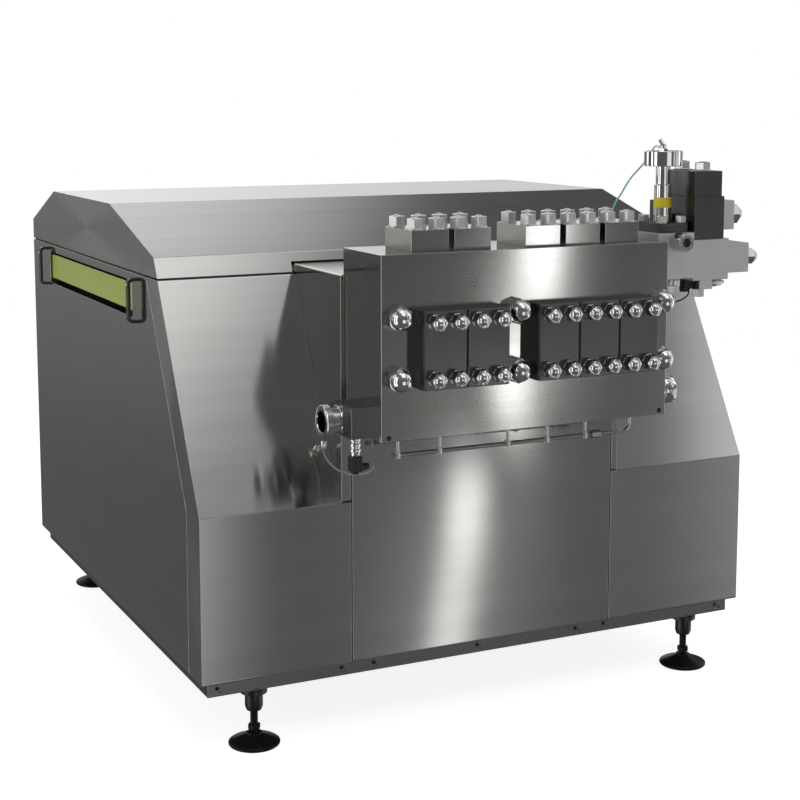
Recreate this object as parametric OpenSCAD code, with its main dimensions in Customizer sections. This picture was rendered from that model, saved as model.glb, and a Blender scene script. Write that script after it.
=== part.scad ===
// Dairy homogenizer with five plungers: a stainless cabinet on four levelling feet, a belt-driven
// crankcase, a cylinder block with bolted covers and a two-stage homogenizing valve.
// Millimetres, +Z up. The origin lies on the floor under the middle of the outline.
// Inside the modules y = 0 is the cabinet's front plane and z = 0 the panels' lower edge.

/* [Cabinet] */
// Width over the side panels
body_w = 2000; // [1900:10:2200]
// Depth from the front plane to the rear panel
body_d = 2044; // [2000:2:2300]
// Height of the panels, from their lower edge to the hood joint
panel_h = 1203; // [1195:1:1240]
// Height of the crease where the front starts to lean back
crease_h = 522; // [460:1:600]
// How far the leaning front runs back
slope_run = 372; // [330:1:400]
// Thickness of the stainless sheet
sheet_t = 3; // [2:0.5:4]
// Outside radius of the sheet bends
bend_r = 7; // [5:0.5:10]
// Width of the flanges that are folded inwards
flange_w = 42; // [38:1:60]
// Width of the front panels' return on the cabinet side
side_return = 120; // [90:1:150]
// Open joint between neighbouring panels
reveal = 4; // [2:0.5:6]

/* [Tower] */
// Height of the tower's top over the panels
tower_rise = 33; // [25:1:60]
// How far the tower's top reaches back under the hood
tower_d = 440; // [430:1:480]
// Margin of the tower's wall left of the cylinder block
tower_margin = 10; // [4:1:20]
// Inset of the front panel's edges from the cylinder block's sides
front_inset = 27; // [20:1:40]
// How far the front panel reaches up behind the block
front_overlap = 30; // [20:1:45]

/* [Hood] */
// Sealed joint under the hood
hood_gap = 5; // [4:0.5:8]
// Height of the hood's steep front lip
lip_h = 64; // [50:1:80]
// Height of the hood's flat top over its lower edge
hood_h = 206; // [180:1:260]
// Distance of the flat top from the front plane
hood_front = 909; // [800:1:1000]
// Distance of the flat top from the rear panel
hood_back = 355; // [300:1:420]
// Height of the hood's rear wall
hood_rear_h = 76; // [70:1:100]
// Radius of the hinge knuckles
hinge_r = 9; // [8:0.5:12]
// Radius of the hinge pins
hinge_pin_r = 4; // [3:0.5:5]
// Width of one hinge
hinge_w = 90; // [70:1:120]
// Length of a hinge leaf
hinge_leaf = 45; // [35:1:60]
// Distance of the outer hinges from the middle
hinge_x = 700; // [500:10:850]

/* [Base and feet] */
// Height of the panels' lower edge over the floor
ground_gap = 230; // [210:1:260]
// Height of the frame rails
rail_h = 47; // [40:1:60]
// Width of the frame rails
rail_w = 60; // [50:1:80]
// Inset of the rails from the panels
rail_inset = 26; // [20:1:30]
// Distance of the feet from the cabinet sides
foot_side = 187; // [120:1:250]
// Distance of the front feet from the front plane
foot_front = 56; // [50:1:70]
// Distance of the rear feet from the rear panel
foot_back = 133; // [125:1:160]
// Diameter of the foot pads
pad_d = 162; // [120:1:180]
// Height of the foot pads with their cone
pad_h = 40; // [30:1:50]
// Diameter of the foot spindles
spindle_d = 24; // [20:1:27]
// Diameter of the threaded sleeves
sleeve_d = 55; // [45:1:60]
// Length of the threaded sleeves
sleeve_h = 70; // [50:1:80]

/* [Side vents] */
// Distance of the vent's front end from the front plane
vent_front = 655; // [600:1:700]
// Length of the vent
vent_l = 1118; // [1000:1:1180]
// Distance of the vent's upper edge from the panel's top
vent_drop = 28; // [26:1:60]
// Height of the vent
vent_h = 122; // [100:1:160]
// Height of the coloured plate behind the vent
plate_h = 92; // [60:1:98]
// Depth of the coloured plate behind the panel
plate_set = 14; // [8:1:25]
// Length of the bow grips
grip_l = 150; // [120:1:180]
// Width of the bow grips
grip_w = 24; // [18:1:30]
// Thickness of the bow grips
grip_t = 11; // [8:1:14]
// Reach of the bow grips from the panel
grip_reach = 32; // [28:1:45]
// Distance of the grips from the vent's ends
grip_off = 46; // [38:1:60]

/* [Cylinder block] */
// Width of the block
block_w = 1008; // [1000:1:1100]
// Depth of the block
block_d = 270; // [250:1:320]
// Height of the plunger axes over the panels' lower edge
plunger_h = 1037; // [1020:1:1050]
// Height of the block under the plunger axes
block_below = 273; // [240:1:290]
// Height of the block over the plunger axes
block_above = 283; // [270:1:310]
// Shift of the block to the left of the cabinet's middle
block_shift = 22; // [0:1:40]
// Distance of the first plunger from the block's left side
first_plunger = 183; // [160:1:200]
// Distance between neighbouring plungers
plunger_pitch = 145; // [138:0.5:150]
// Extra room between the left and the right bank
bank_gap = 100; // [80:1:110]
// Diameter of the plungers
plunger_d = 55; // [40:1:60]
// Stroke of the plungers
stroke = 60; // [40:1:80]
// Diameter of the crosshead rods behind the plungers
rod_d = 70; // [62:1:80]
// Diameter of the vertical valve bores
valve_bore = 62; // [50:1:70]
// Diameter of the delivery gallery
delivery_d = 40; // [30:1:50]
// Height of the delivery gallery over the plunger axes
delivery_rise = 225; // [200:1:235]
// Diameter of the packing flanges behind the block
packing_d = 104; // [90:1:120]
// Length of the packing flanges behind the block
packing_l = 14; // [8:1:16]
// Running clearance on the radius
clear = 0.3; // [0.2:0.05:0.5]

/* [Covers and nuts] */
// Thickness of the front covers
cover_t = 60; // [45:1:75]
// Height of the front covers
cover_h = 235; // [220:1:260]
// Chamfer of the front covers' upright edges
cover_edge = 4; // [2:0.5:6]
// Fine joint between neighbouring front covers
cover_gap = 1.5; // [1:0.5:4]
// Distance between the nuts across a cover
nut_pitch = 72.5; // [66:0.5:76]
// Distance between the upper and the lower front nuts
nut_rows = 169; // [150:1:185]
// Width across flats of the front nuts
front_af = 41; // [36:1:46]
// Length of the front nuts
front_nut_l = 45; // [38:1:55]
// Width across flats of the large dome nuts
dome_af = 70; // [60:1:72]
// Length of the large dome nuts
dome_l = 68; // [55:1:80]
// Distance between the upper and the lower large dome nuts
dome_rows = 182; // [170:1:200]
// Distance of the left dome nuts from the block's left side
dome_left = 50; // [42:1:60]
// Distance of the right dome nuts from the block's right side
dome_right = 34; // [30:1:36]
// Width of the top covers
top_w = 125; // [115:1:130]
// Depth of the top covers
top_d = 180; // [170:1:200]
// Thickness of the top covers
top_t = 64; // [50:1:80]
// Setback of the top covers from the block's front
top_set = 46; // [30:1:60]
// Distance between the front and the rear top nuts
top_rows = 122; // [112:1:124]
// Width across flats of the top nuts
top_af = 46; // [41:1:46]
// Length of the top nuts
top_nut_l = 38; // [30:1:45]

/* [Suction line] */
// Width of the inlet manifold
manifold_w = 94; // [80:1:120]
// Depth of the inlet manifold
manifold_d = 156; // [130:1:170]
// Height of the inlet manifold
manifold_h = 92; // [86:1:100]
// Setback of the manifold from the block's front
manifold_set = 5; // [2:1:20]
// Bore of the suction line
suction_d = 66; // [50:1:70]
// Height of the suction line over the block's lower edge
suction_rise = 63; // [56:1:70]
// Outside diameter of the inlet's round thread
union_d = 95; // [86:1:100]
// Length of the inlet fitting
union_l = 62; // [48:1:80]
// Length of the blind cap at the far end
cap_l = 86; // [60:1:100]
// Diameter of the suction sensor
probe_d = 28; // [22:1:34]
// Length of the suction sensor
probe_l = 68; // [50:1:80]
// Width of the sensor's angled connector
plug_w = 34; // [28:1:40]
// Height of the sensor's angled connector
plug_h = 54; // [44:1:64]
// Diameter of the flushing rail
flush_d = 14; // [10:1:18]
// Distance of the flushing rail below the block
flush_drop = 84; // [60:1:100]
// Distance of the flushing rail from the front plane
flush_front = 100; // [60:1:140]

/* [Homogenizing valve] */
// Width of the valve's base block
base_w = 139; // [120:1:160]
// Depth of the valve's base block
base_d = 185; // [170:1:190]
// Height of the valve's base block
base_h = 149; // [140:1:160]
// Distance of the base block's top over the cylinder block
base_rise = 20; // [5:1:30]
// Setback of the valve from the block's front
valve_set = 52; // [40:1:60]
// Width of the first stage's body
one_w = 142; // [134:1:160]
// Height of the first stage's body
one_h = 135; // [125:1:145]
// Width of the first stage's cap
one_cap_w = 90; // [70:1:110]
// Height of the first stage's cap
one_cap_h = 97; // [80:1:110]
// Width of the second stage's body
two_w = 117; // [110:1:130]
// Depth of the second stage's body
two_d = 185; // [160:1:190]
// Height of the second stage's body
two_h = 139; // [125:1:150]
// Width of the second stage's cap
two_cap_w = 106; // [98:1:110]
// Height of the second stage's cap
two_cap_h = 82; // [60:1:100]
// Thickness of the second stage's side flange
side_t = 59; // [40:1:65]
// Width of the second stage's side flange
side_w = 96; // [84:1:104]
// Bore of the product outlet
outlet_d = 50; // [38:1:52]
// Outside diameter of the outlet's round thread
outlet_thread = 78; // [70:1:84]
// Length of the outlet fitting
outlet_l = 45; // [35:1:70]
// Width of the outlet's elbow block
elbow_w = 90; // [86:1:100]
// Width of the pressure sensor's flange
gauge_flange_w = 106; // [96:1:112]
// Depth of the pressure sensor's flange
gauge_flange_d = 140; // [130:1:150]
// Thickness of the pressure sensor's flange
gauge_flange_t = 31; // [26:1:40]
// Diameter of the pressure sensor's body
gauge_d = 56; // [50:1:60]
// Height of the pressure sensor's body
gauge_h = 122; // [105:1:135]
// Diameter of the pressure sensor's neck
neck_d = 47; // [40:1:49]
// Height of the pressure sensor's neck
neck_h = 60; // [45:1:75]
// Diameter of the pressure sensor's head
head_d = 125; // [110:1:130]
// Height of the pressure sensor's head
head_h = 49; // [40:1:60]

/* [Drive] */
// Distance of the crankcase from the front plane
crank_front = 330; // [310:1:340]
// Depth of the crankcase
crank_d = 600; // [580:1:660]
// Height of the crankcase over the plunger axes
crank_above = 125; // [115:1:130]
// Wall of the crankcase
crank_wall = 28; // [20:1:35]
// Margin of the crankcase beside the outer plungers
crank_margin = 110; // [100:1:115]
// Thickness of the cheeks that carry the block
cheek_t = 45; // [35:1:55]
// Height of the cheeks under the plunger axes
cheek_below = 150; // [130:1:160]
// Height of the cheeks over the plunger axes
cheek_above = 110; // [95:1:115]
// Thickness of the crankcase's lid
lid_t = 16; // [12:1:20]
// Distance of the lid from the crankcase's sides
lid_inset = 60; // [50:1:80]
// Depth of the large pulley's rim
rim_d = 60; // [50:1:80]
// Outside diameter of the large pulley
pulley_d = 800; // [700:1:840]
// Outside diameter of the motor pulley
motor_pulley_d = 250; // [220:1:280]
// Height of the large pulley's shaft
pulley_z = 600; // [560:1:640]
// Diameter of the pulley shafts
shaft_d = 90; // [70:1:100]
// Number of V-belts
belt_n = 5; // [4:1:6]
// Distance between the belts
belt_pitch = 26; // [24:1:30]
// Width of a belt
belt_w = 14; // [12:1:16]
// Depth of a belt
belt_h = 14; // [12:1:16]
// Distance of the motor shaft from the front plane
motor_y = 1450; // [1400:1:1500]
// Height of the motor shaft over the motor's feet
motor_axis = 315; // [310:1:330]
// Diameter of the motor's housing
motor_d = 540; // [480:2:560]
// Length of the motor's housing
motor_l = 900; // [800:5:950]
// Height of the motor's slide rails
slide_h = 40; // [30:1:50]

/* [Hidden] */
$fn = 48;

// Smallest step used so that cutters pass clean through
eps = 1;
corner_steps = 5;
left_bank = 2;
plunger_n = 5;

// Overall depth, which places the front plane so that the origin is in the middle
front_reach = block_d + cover_t + front_nut_l;
rear_reach = body_d + 2 * hinge_r;
front_y = (front_reach - rear_reach) / 2;

// Cabinet
half_w = body_w / 2;
slope_lean = slope_run / (panel_h - crease_h);
hood_z = panel_h + hood_gap;
hood_y = slope_run + hood_gap * slope_lean;
lip_y = hood_y + lip_h * slope_lean;
hinge_z = panel_h + hood_gap / 2;

// Tower, whose roof stays clear of the crankcase's lid and laps under the hood
lid_room = 12;
roof_lap = 45;
crank_top = plunger_h + crank_above;
tower_h = max(panel_h + tower_rise, crank_top + lid_t + lid_room + sheet_t);
roof_end = max(tower_d, hood_line_y(tower_h + hood_gap) + roof_lap);

// Cylinder block and tower
block_x0 = -block_shift - block_w / 2;
block_x1 = block_x0 + block_w;
block_z0 = plunger_h - block_below;
block_z1 = plunger_h + block_above;
block_front = -block_d;
tower_x0 = block_x0 - tower_margin;
tower_x1 = block_x1;
panel_x0 = block_x0 + front_inset;
panel_x1 = block_x1 - front_inset;
front_top = block_z0 + front_overlap;
cover_w = plunger_pitch - cover_gap;
cover_face = block_front - cover_t;
top_y = block_front + top_set + top_d / 2;
suction_y = block_front + manifold_set + manifold_d / 2;
suction_z = block_z0 + suction_rise;
manifold_x = block_x0 - manifold_w;
manifold_z0 = suction_z - manifold_h / 2;
probe_x = block_x0 - manifold_w / 2;
probe_z = manifold_z0 - probe_l;

// Homogenizing valve
valve_front = block_front + valve_set;
base_x1 = block_x1 + base_w;
base_z1 = block_z1 + base_rise;
base_z0 = base_z1 - base_h;
one_x1 = base_x1 + one_w;
one_z1 = block_z1 - 4;
one_z0 = one_z1 - one_h;
valve_y = valve_front + base_d / 2;
delivery_z = plunger_h + delivery_rise;
two_y = valve_front + two_d / 2;
two_back = valve_front + two_d;
two_z1 = one_z1 + two_h;
two_cap_z1 = two_z1 + two_cap_h;
two_x = base_x1 + two_w / 2;
two_mid = one_z1 + two_h / 2;
gauge_x = block_x1 + base_w * 0.535;
gauge_y = valve_front + 20 + gauge_flange_d / 2;
gauge_z = base_z1 + gauge_flange_t;

// Drive
crank_x0 = block_x0 + first_plunger - crank_margin;
crank_x1 = block_x0 + first_plunger + (plunger_n - 1) * plunger_pitch + bank_gap + crank_margin;
crank_back = crank_front + crank_d;
pulley_y = crank_front + crank_d / 2;
rim_edge = 4;
pulley_w = belt_n * belt_pitch + 2 * rim_edge;
groove_h = belt_h + 2;
belt_clear = 0.5;
pulley_x = crank_x1 + 70;
motor_z = slide_h + motor_axis;
motor_x1 = pulley_x - 60;
motor_x0 = motor_x1 - motor_l;
slide_span = motor_l * 0.55;
slide_l = 560;
slide_w = 90;

// Leads: where each leaves its fitting, where it enters its gland, and its shape between
plug_x = base_x1 + 34;
plug_z = one_z0 - 36;
stub_l = 30;
stub_rise = 13;
gland_stand = 44;
suction_start = [probe_x + plug_w / 2 + 26, suction_y, probe_z - plug_h * 0.63];
suction_end = [tower_x0 - 42, 42, crease_h + (42 + gland_stand) / slope_lean + gland_stand / 4];
suction_shape = [[0, 0, 0], [10, 0, -1], [19, 4, -6], [23, 14, -15], [19, 28, -25], [10, 45, -34],
    [-1, 65, -40], [-11, 87, -44], [-20, 110, -45], [-27, 133, -44], [-33, 156, -41], [-38, 178, -35],
    [-42, 198, -27], [-45, 214, -17], [-47, 225, -4], [-48, 229, 11]];
pressure_start = [gauge_x, gauge_y + stub_l, gauge_z + gauge_h + neck_h + head_h + stub_rise];
pressure_end = [block_x1 - 34, 50, tower_h + 26];
pressure_shape = [[0, 0, 0], [1, 12, 1], [4, 26, -2], [6, 38, -11], [6, 50, -23], [4, 60, -35],
    [-3, 76, -58], [-15, 90, -79], [-28, 106, -102], [-40, 120, -129], [-54, 132, -162],
    [-66, 141, -187], [-78, 147, -222], [-90, 149, -265], [-100, 148, -305], [-107, 148, -331],
    [-108, 148, -353]];
valve_start = [plug_x, valve_y - 22, plug_z];
valve_end = [tower_x1 + 18.4, 37, plunger_h + 65];
valve_shape = [[0, 0, 0], [0, 1, -14], [-10, 8, -28], [-25, 23, -40], [-43, 43, -48], [-65, 68, -52],
    [-85, 93, -53], [-105, 118, -52], [-122, 140, -49], [-135, 162, -46], [-144, 178, -43.5],
    [-149, 184, -43], [-154.6, 184.5, -43]];
lead_d = 6;
valve_lead_d = 5;
gland_d = 18;
gland_l = 18;

// Depth at which the hood's outside reaches a height
function hood_line_y(z) = z < hood_z + lip_h ? hood_y + (z - hood_z) * slope_lean :
    lip_y + (z - hood_z - lip_h) * (hood_front - lip_y) / (hood_h - lip_h);
function plunger_x(i) = block_x0 + first_plunger + i * plunger_pitch + (i < left_bank ? 0 : bank_gap);
function belt_line_x(i) = rim_edge + belt_pitch * (i + 0.5);
function unit(v) = v / norm(v);

// Route of a lead from a to b that keeps its shape and takes up the difference evenly
function strung(a, b, shape) =
    let (n = len(shape) - 1, rest = b - a - shape[n]) [for (i = [0:n]) a + shape[i] + rest * i / n];

function flat(p) = [p[0], p[1]];
function right_of(d) = [d[1], -d[0]];

// Arc that rounds corner i of an outline whose points are [x, y, radius]
function corner(p, i, closed) =
    let (n = len(p), b = flat(p[i]), r = p[i][2])
    r <= 0 || (!closed && (i == 0 || i == n - 1)) ? [b] :
    let (u = unit(flat(p[(i + n - 1) % n]) - b), v = unit(flat(p[(i + 1) % n]) - b),
        half = acos(u * v) / 2, m = b + unit(u + v) * r / sin(half),
        p0 = b + u * r / tan(half) - m, p1 = b + v * r / tan(half) - m,
        a0 = atan2(p0[1], p0[0]), turn = (atan2(p1[1], p1[0]) - a0 + 540) % 360 - 180)
    [for (k = [0:corner_steps]) let (a = a0 + turn * k / corner_steps) m + r * [cos(a), sin(a)]];
function rounded(p, closed = true) = [for (i = [0:len(p) - 1]) each corner(p, i, closed)];

// Point of a path's parallel copy at distance t to its right
function beside(p, i, t) =
    let (n = len(p), d0 = i > 0 ? unit(p[i] - p[i - 1]) : unit(p[1] - p[0]),
        d1 = i < n - 1 ? unit(p[i + 1] - p[i]) : d0, m = unit(right_of(d0) + right_of(d1)))
    p[i] + m * t / (m * right_of(d0));

// Section of a bent sheet whose outside follows a clockwise path
function sheet(p, t, r) =
    let (n = len(p), outside = [for (q = p) [q[0], q[1], r]],
        inside = [for (i = [n - 1:-1:0]) let (q = beside(p, i, t)) [q[0], q[1], max(r - t, 0.5)]])
    concat(rounded(outside, false), rounded(inside, false));

// Points of a belt line at radius r1 and r2 round two pulley centres
function belt_line(c1, r1, c2, r2, steps = 72) =
    let (d = norm(c2 - c1), base = atan2(c2[1] - c1[1], c2[0] - c1[0]), tilt = acos((r1 - r2) / d))
    concat([for (k = [0:steps]) let (a = base + tilt + (360 - 2 * tilt) * k / steps)
            c1 + r1 * [cos(a), sin(a)]],
        [for (k = [0:steps]) let (a = base - tilt + 2 * tilt * k / steps)
            c2 + r2 * [cos(a), sin(a)]]);

module placed() { translate([0, front_y, ground_gap]) children(); }
module along_x(x0, x1) { translate([x0, 0, 0]) rotate([90, 0, 90]) linear_extrude(x1 - x0) children(); }
module along_y(y0, y1) { translate([0, y1, 0]) rotate([90, 0, 0]) linear_extrude(y1 - y0) children(); }
module box(p0, p1) { translate(p0) cube(p1 - p0); }
module rod_x(x0, x1, y, z, d) { translate([x0, y, z]) rotate([0, 90, 0]) cylinder(d = d, h = x1 - x0); }
module rod_y(y0, y1, x, z, d) { translate([x, y0, z]) rotate([-90, 0, 0]) cylinder(d = d, h = y1 - y0); }
module rod_z(z0, z1, x, y, d) { translate([x, y, z0]) cylinder(d = d, h = z1 - z0); }

// Spherical cap of base radius r and height h
module dome(r, h) {
    ball = (r * r + h * h) / (2 * h);
    intersection() {
        translate([0, 0, h - ball]) sphere(r = ball);
        cylinder(r = ball, h = h);
    }
}

// Cap nut on a washer, standing on z = 0
module cap_nut(af, l, hex_share, washer = 1.22) {
    hex_h = l * hex_share;
    cylinder(d = af * washer, h = af / 12);
    cylinder(d = af / cos(30), h = hex_h, $fn = 6);
    translate([0, 0, hex_h]) dome(af * 0.48, l - hex_h);
}

// Hexagon head or nut, standing on z = 0
module hex(af, h) { cylinder(d = af / cos(30), h = h, $fn = 6); }

// Round cord swept along a route
module cord(route, d, aside) {
    sides = 8;
    last = len(route) - 1;
    rings = [for (i = [0:last])
        let (t = unit(route[min(i + 1, last)] - route[max(i - 1, 0)]),
            u = unit(aside - (aside * t) * t), v = cross(t, u))
        each [for (k = [0:sides - 1]) let (a = 360 * k / sides)
            route[i] + d / 2 * (u * cos(a) + v * sin(a))]];
    walls = [for (i = [0:last - 1], k = [0:sides - 1]) let (m = (k + 1) % sides)
        [i * sides + k, (i + 1) * sides + k, (i + 1) * sides + m, i * sides + m]];
    polyhedron(rings, concat([[for (k = [0:sides - 1]) k]], walls,
        [[for (k = [sides - 1:-1:0]) last * sides + k]]));
}

// Frame and feet

module sleeve_places() {
    for (x = [-1, 1], y = [foot_front, body_d - foot_back])
        translate([x * (half_w - foot_side), y, -rail_h]) children();
}

module base_frame() color("gray") placed() {
    x1 = half_w - rail_inset;
    y0 = rail_inset;
    y1 = body_d - rail_inset;
    bars = [y0, crank_front + 20, crank_back - 20 - rail_w, motor_y - slide_l / 2,
        motor_y + slide_l / 2 - rail_w, body_d - foot_back - rail_w / 2, y1 - rail_w];
    difference() {
        union() {
            for (y = bars) box([-x1, y, -rail_h], [x1, y + rail_w, 0]);
            for (s = [-1, 1]) {
                x = s * (x1 - rail_w / 2);
                box([x - rail_w / 2, y0, -rail_h], [x + rail_w / 2, y1, 0]);
            }
            for (x = [motor_x0, motor_x1] + [1, -1] * (motor_l - slide_span) / 2)
                box([x - slide_w / 2, motor_y - slide_l / 2, -eps],
                    [x + slide_w / 2, motor_y + slide_l / 2, slide_h]);
            sleeve_places() translate([0, 0, -sleeve_h]) {
                cylinder(d1 = sleeve_d * 0.8, d2 = sleeve_d, h = 12);
                translate([0, 0, 12]) cylinder(d = sleeve_d, h = sleeve_h - 12);
                translate([0, 0, sleeve_h - 16]) cylinder(d = sleeve_d * 1.5, h = 16);
            }
        }
        sleeve_places() translate([0, 0, -sleeve_h - eps])
            cylinder(d = spindle_d + 2 * clear, h = sleeve_h + rail_h / 2);
    }
}

module foot(x, y) color("dimgray") placed() translate([x, y, -ground_gap]) {
    edge = 10;
    rotate_extrude() polygon([[0, 0], [pad_d / 2 - 4, 0], [pad_d / 2, 4], [pad_d / 2, edge],
        [pad_d / 2 - 6, edge + 4], [spindle_d, pad_h - 6], [spindle_d, pad_h], [0, pad_h]]);
    cylinder(d = spindle_d, h = ground_gap - rail_h - 8);
    translate([0, 0, pad_h + 10]) hex(spindle_d * 1.5, spindle_d * 0.6);
}

// Cabinet panels

// Front panel beside the tower, drawn on the right-hand side
module wing(inner_low, inner_high) {
    front = [[flange_w, 0], [0, 0], [0, crease_h], [slope_run, panel_h],
        [slope_run + flange_w, panel_h]];
    difference() {
        union() {
            along_x(inner_low, half_w) polygon(sheet(front, sheet_t, bend_r));
            along_x(half_w - sheet_t, half_w) polygon(rounded([[0, 0, bend_r], [0, crease_h, bend_r],
                [slope_run, panel_h, bend_r], [slope_run + side_return, panel_h, 0],
                [side_return, crease_h, 0], [side_return, 0, 0]]));
        }
        box([inner_low - eps, -eps, crease_h],
            [inner_high, slope_run + flange_w + eps, panel_h + eps]);
    }
}

module left_wing_panel() color("silver") placed()
    mirror([1, 0, 0]) wing(reveal - panel_x0, reveal - tower_x0 - 3);
module right_wing_panel() color("silver") placed()
    wing(panel_x1 + reveal, tower_x1 + 1);

module tower_shell() color("silver") placed() difference() {
    union() {
        along_y(0, tower_d) polygon(sheet([[tower_x0, crease_h], [tower_x0, tower_h],
            [tower_x1, tower_h], [tower_x1, crease_h]], sheet_t, bend_r));
        along_y(0, roof_end) polygon(sheet([[tower_x0, panel_h], [tower_x0, tower_h],
            [tower_x1, tower_h], [tower_x1, panel_h]], sheet_t, bend_r));
        box([tower_x0 + sheet_t, 0, crease_h + reveal],
            [tower_x1 - sheet_t, sheet_t, tower_h - sheet_t]);
    }
    box([panel_x0 - reveal, -eps, 0], [panel_x1 + reveal, sheet_t + eps, front_top + reveal]);
    box([crank_x0 - reveal, -eps, plunger_h - cheek_below - reveal],
        [crank_x1 + reveal, sheet_t + eps, plunger_h + cheek_above + reveal]);
    box([tower_x0 - eps, sheet_t, 0], [tower_x1 + eps, side_return, crease_h + reveal]);
}

module front_panel() color("silver") placed()
    along_x(panel_x0, panel_x1) polygon(sheet([[flange_w, 0], [0, 0], [0, front_top],
        [flange_w / 2, front_top]], sheet_t, bend_r));

module rear_panel() color("silver") placed() {
    edge = half_w - sheet_t - 1;
    along_x(-edge, edge) polygon(sheet([[body_d - flange_w, panel_h], [body_d, panel_h],
        [body_d, 0], [body_d - flange_w, 0]], sheet_t, bend_r));
}

// Side panel with its vent, drawn on the left-hand side
module side_panel() difference() {
    along_y(side_return + reveal, body_d) polygon(sheet([[flange_w - half_w, 0], [-half_w, 0],
        [-half_w, panel_h], [flange_w - half_w, panel_h]], sheet_t, bend_r));
    along_x(-half_w - eps, flange_w - half_w + eps) polygon([[0, crease_h],
        [side_return + reveal, crease_h],
        [side_return + reveal + slope_run + eps * slope_lean, panel_h + eps], [0, panel_h + eps]]);
    box([-half_w - eps, vent_front, panel_h - vent_drop - vent_h],
        [sheet_t + eps - half_w, vent_front + vent_l, panel_h - vent_drop]);
    box([sheet_t - half_w, body_d - flange_w - reveal, -eps],
        [flange_w + eps - half_w, body_d + eps, panel_h + eps]);
}
module left_side_panel() color("dimgray") placed() side_panel();
module right_side_panel() color("dimgray") placed() mirror([1, 0, 0]) side_panel();

// Coloured plate in a shallow tray behind the vent, drawn on the left-hand side
module vent_plate() {
    mid = panel_h - vent_drop - vent_h / 2;
    lap = 20;
    wall = sheet_t - half_w;
    y1 = vent_front + vent_l;
    translate([0, 0, mid - plate_h / 2]) linear_extrude(plate_h)
        polygon(sheet([[wall, vent_front - 2 * lap], [wall, vent_front - lap],
            [wall + plate_set, vent_front + lap], [wall + plate_set, y1 - lap],
            [wall, y1 + lap], [wall, y1 + 2 * lap]], 2, 3));
}
module left_vent_plate() color("olivedrab") placed() vent_plate();
module right_vent_plate() color("olivedrab") placed() mirror([1, 0, 0]) vent_plate();

module panel_grips() color("black") placed() {
    mid = panel_h - vent_drop - vent_h / 2;
    bow = sheet([[0, mid - grip_l / 2], [-grip_reach, mid - grip_l / 2],
        [-grip_reach, mid + grip_l / 2], [0, mid + grip_l / 2]], grip_t, grip_t * 1.7);
    for (s = [0, 1], y = [vent_front - grip_off, vent_front + vent_l + grip_off])
        mirror([s, 0, 0]) translate([-half_w, 0, 0])
            along_y(y - grip_w / 2, y + grip_w / 2) polygon(bow);
}

// Hood

module hood() color("silver") placed() {
    path = [[hood_y, hood_z], [lip_y, hood_z + lip_h], [hood_front, hood_z + hood_h],
        [body_d - hood_back, hood_z + hood_h], [body_d, hood_z + hood_rear_h], [body_d, hood_z]];
    gable = [for (p = path) [p[0], p[1], p[1] == hood_z ? 0 : bend_r]];
    difference() {
        union() {
            along_x(-half_w, half_w) polygon(sheet(path, sheet_t, bend_r));
            for (x = [-half_w, half_w - sheet_t]) along_x(x, x + sheet_t) polygon(rounded(gable));
        }
        box([-half_w - eps, 0, panel_h], [half_w + eps, hood_front, hood_z]);
        box([tower_x0 - reveal, hood_y - eps, hood_z - eps],
            [tower_x1 + reveal, hood_front, tower_h + hood_gap]);
    }
}

// Rubber strips in the joint under the hood
module hood_seal() color("black") placed() {
    z1 = hood_z - clear;
    wide = 16;
    for (s = [0, 1]) mirror([s, 0, 0])
        box([1 - half_w, slope_run + side_return + reveal + 6, panel_h],
            [1 + wide - half_w, body_d - flange_w - reveal - 2, z1]);
    for (x = [[half_w - 6, tower_x1 + 8], [tower_x0 - 8, 6 - half_w]])
        box([x[1], hood_y + 2, panel_h], [x[0], hood_y + 2 + wide, z1]);
    box([2 + sheet_t - half_w, body_d - wide - 8, panel_h],
        [half_w - sheet_t - 2, body_d - 8, z1]);
}

module hinge_places() {
    for (x = [-hinge_x, 0, hinge_x]) translate([x, body_d, hinge_z]) children();
}
module hinge_bases() color("gray") placed() hinge_places() difference() {
    union() {
        box([-hinge_w / 2, 0, -hinge_leaf], [hinge_w / 2, sheet_t, 0]);
        rod_x(-hinge_w / 2, hinge_w / 2, hinge_r, 0, 2 * hinge_r);
    }
    difference() {
        box([-hinge_w / 6, -eps, -hinge_r - 1], [hinge_w / 6, 2 * hinge_r + eps, hinge_r + 1]);
        rod_x(-hinge_w / 2, hinge_w / 2, hinge_r, 0, 2 * hinge_pin_r);
    }
}
module hinge_leaves() color("gray") placed() hinge_places() {
    half = hinge_w / 6 - 0.5;
    difference() {
        union() {
            box([-hinge_w / 2, 0, hinge_r + 2], [hinge_w / 2, sheet_t, hinge_leaf]);
            box([-half, 0, 0], [half, sheet_t, hinge_r + 3]);
            rod_x(-half, half, hinge_r, 0, 2 * hinge_r);
        }
        rod_x(-hinge_w, hinge_w, hinge_r, 0, 2 * (hinge_pin_r + clear));
    }
}

// Crankcase and drive

// Side view of the crankcase, drawn in by a margin
function crank_outline(in) = rounded([[crank_front + in, in, 12], [crank_front + in, crank_top - in, 24],
    [crank_front + crank_d * 0.6, crank_top - in, 110],
    [crank_back - in, crank_top - crank_d * 0.5, 160], [crank_back - in, in, 12]]);
lid_y0 = crank_front + lid_inset;
lid_y1 = crank_front + crank_d * 0.5;
lid_rim = lid_t * 0.75;
hatch_rim = lid_inset / 2;
boss_l = 30;

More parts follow.
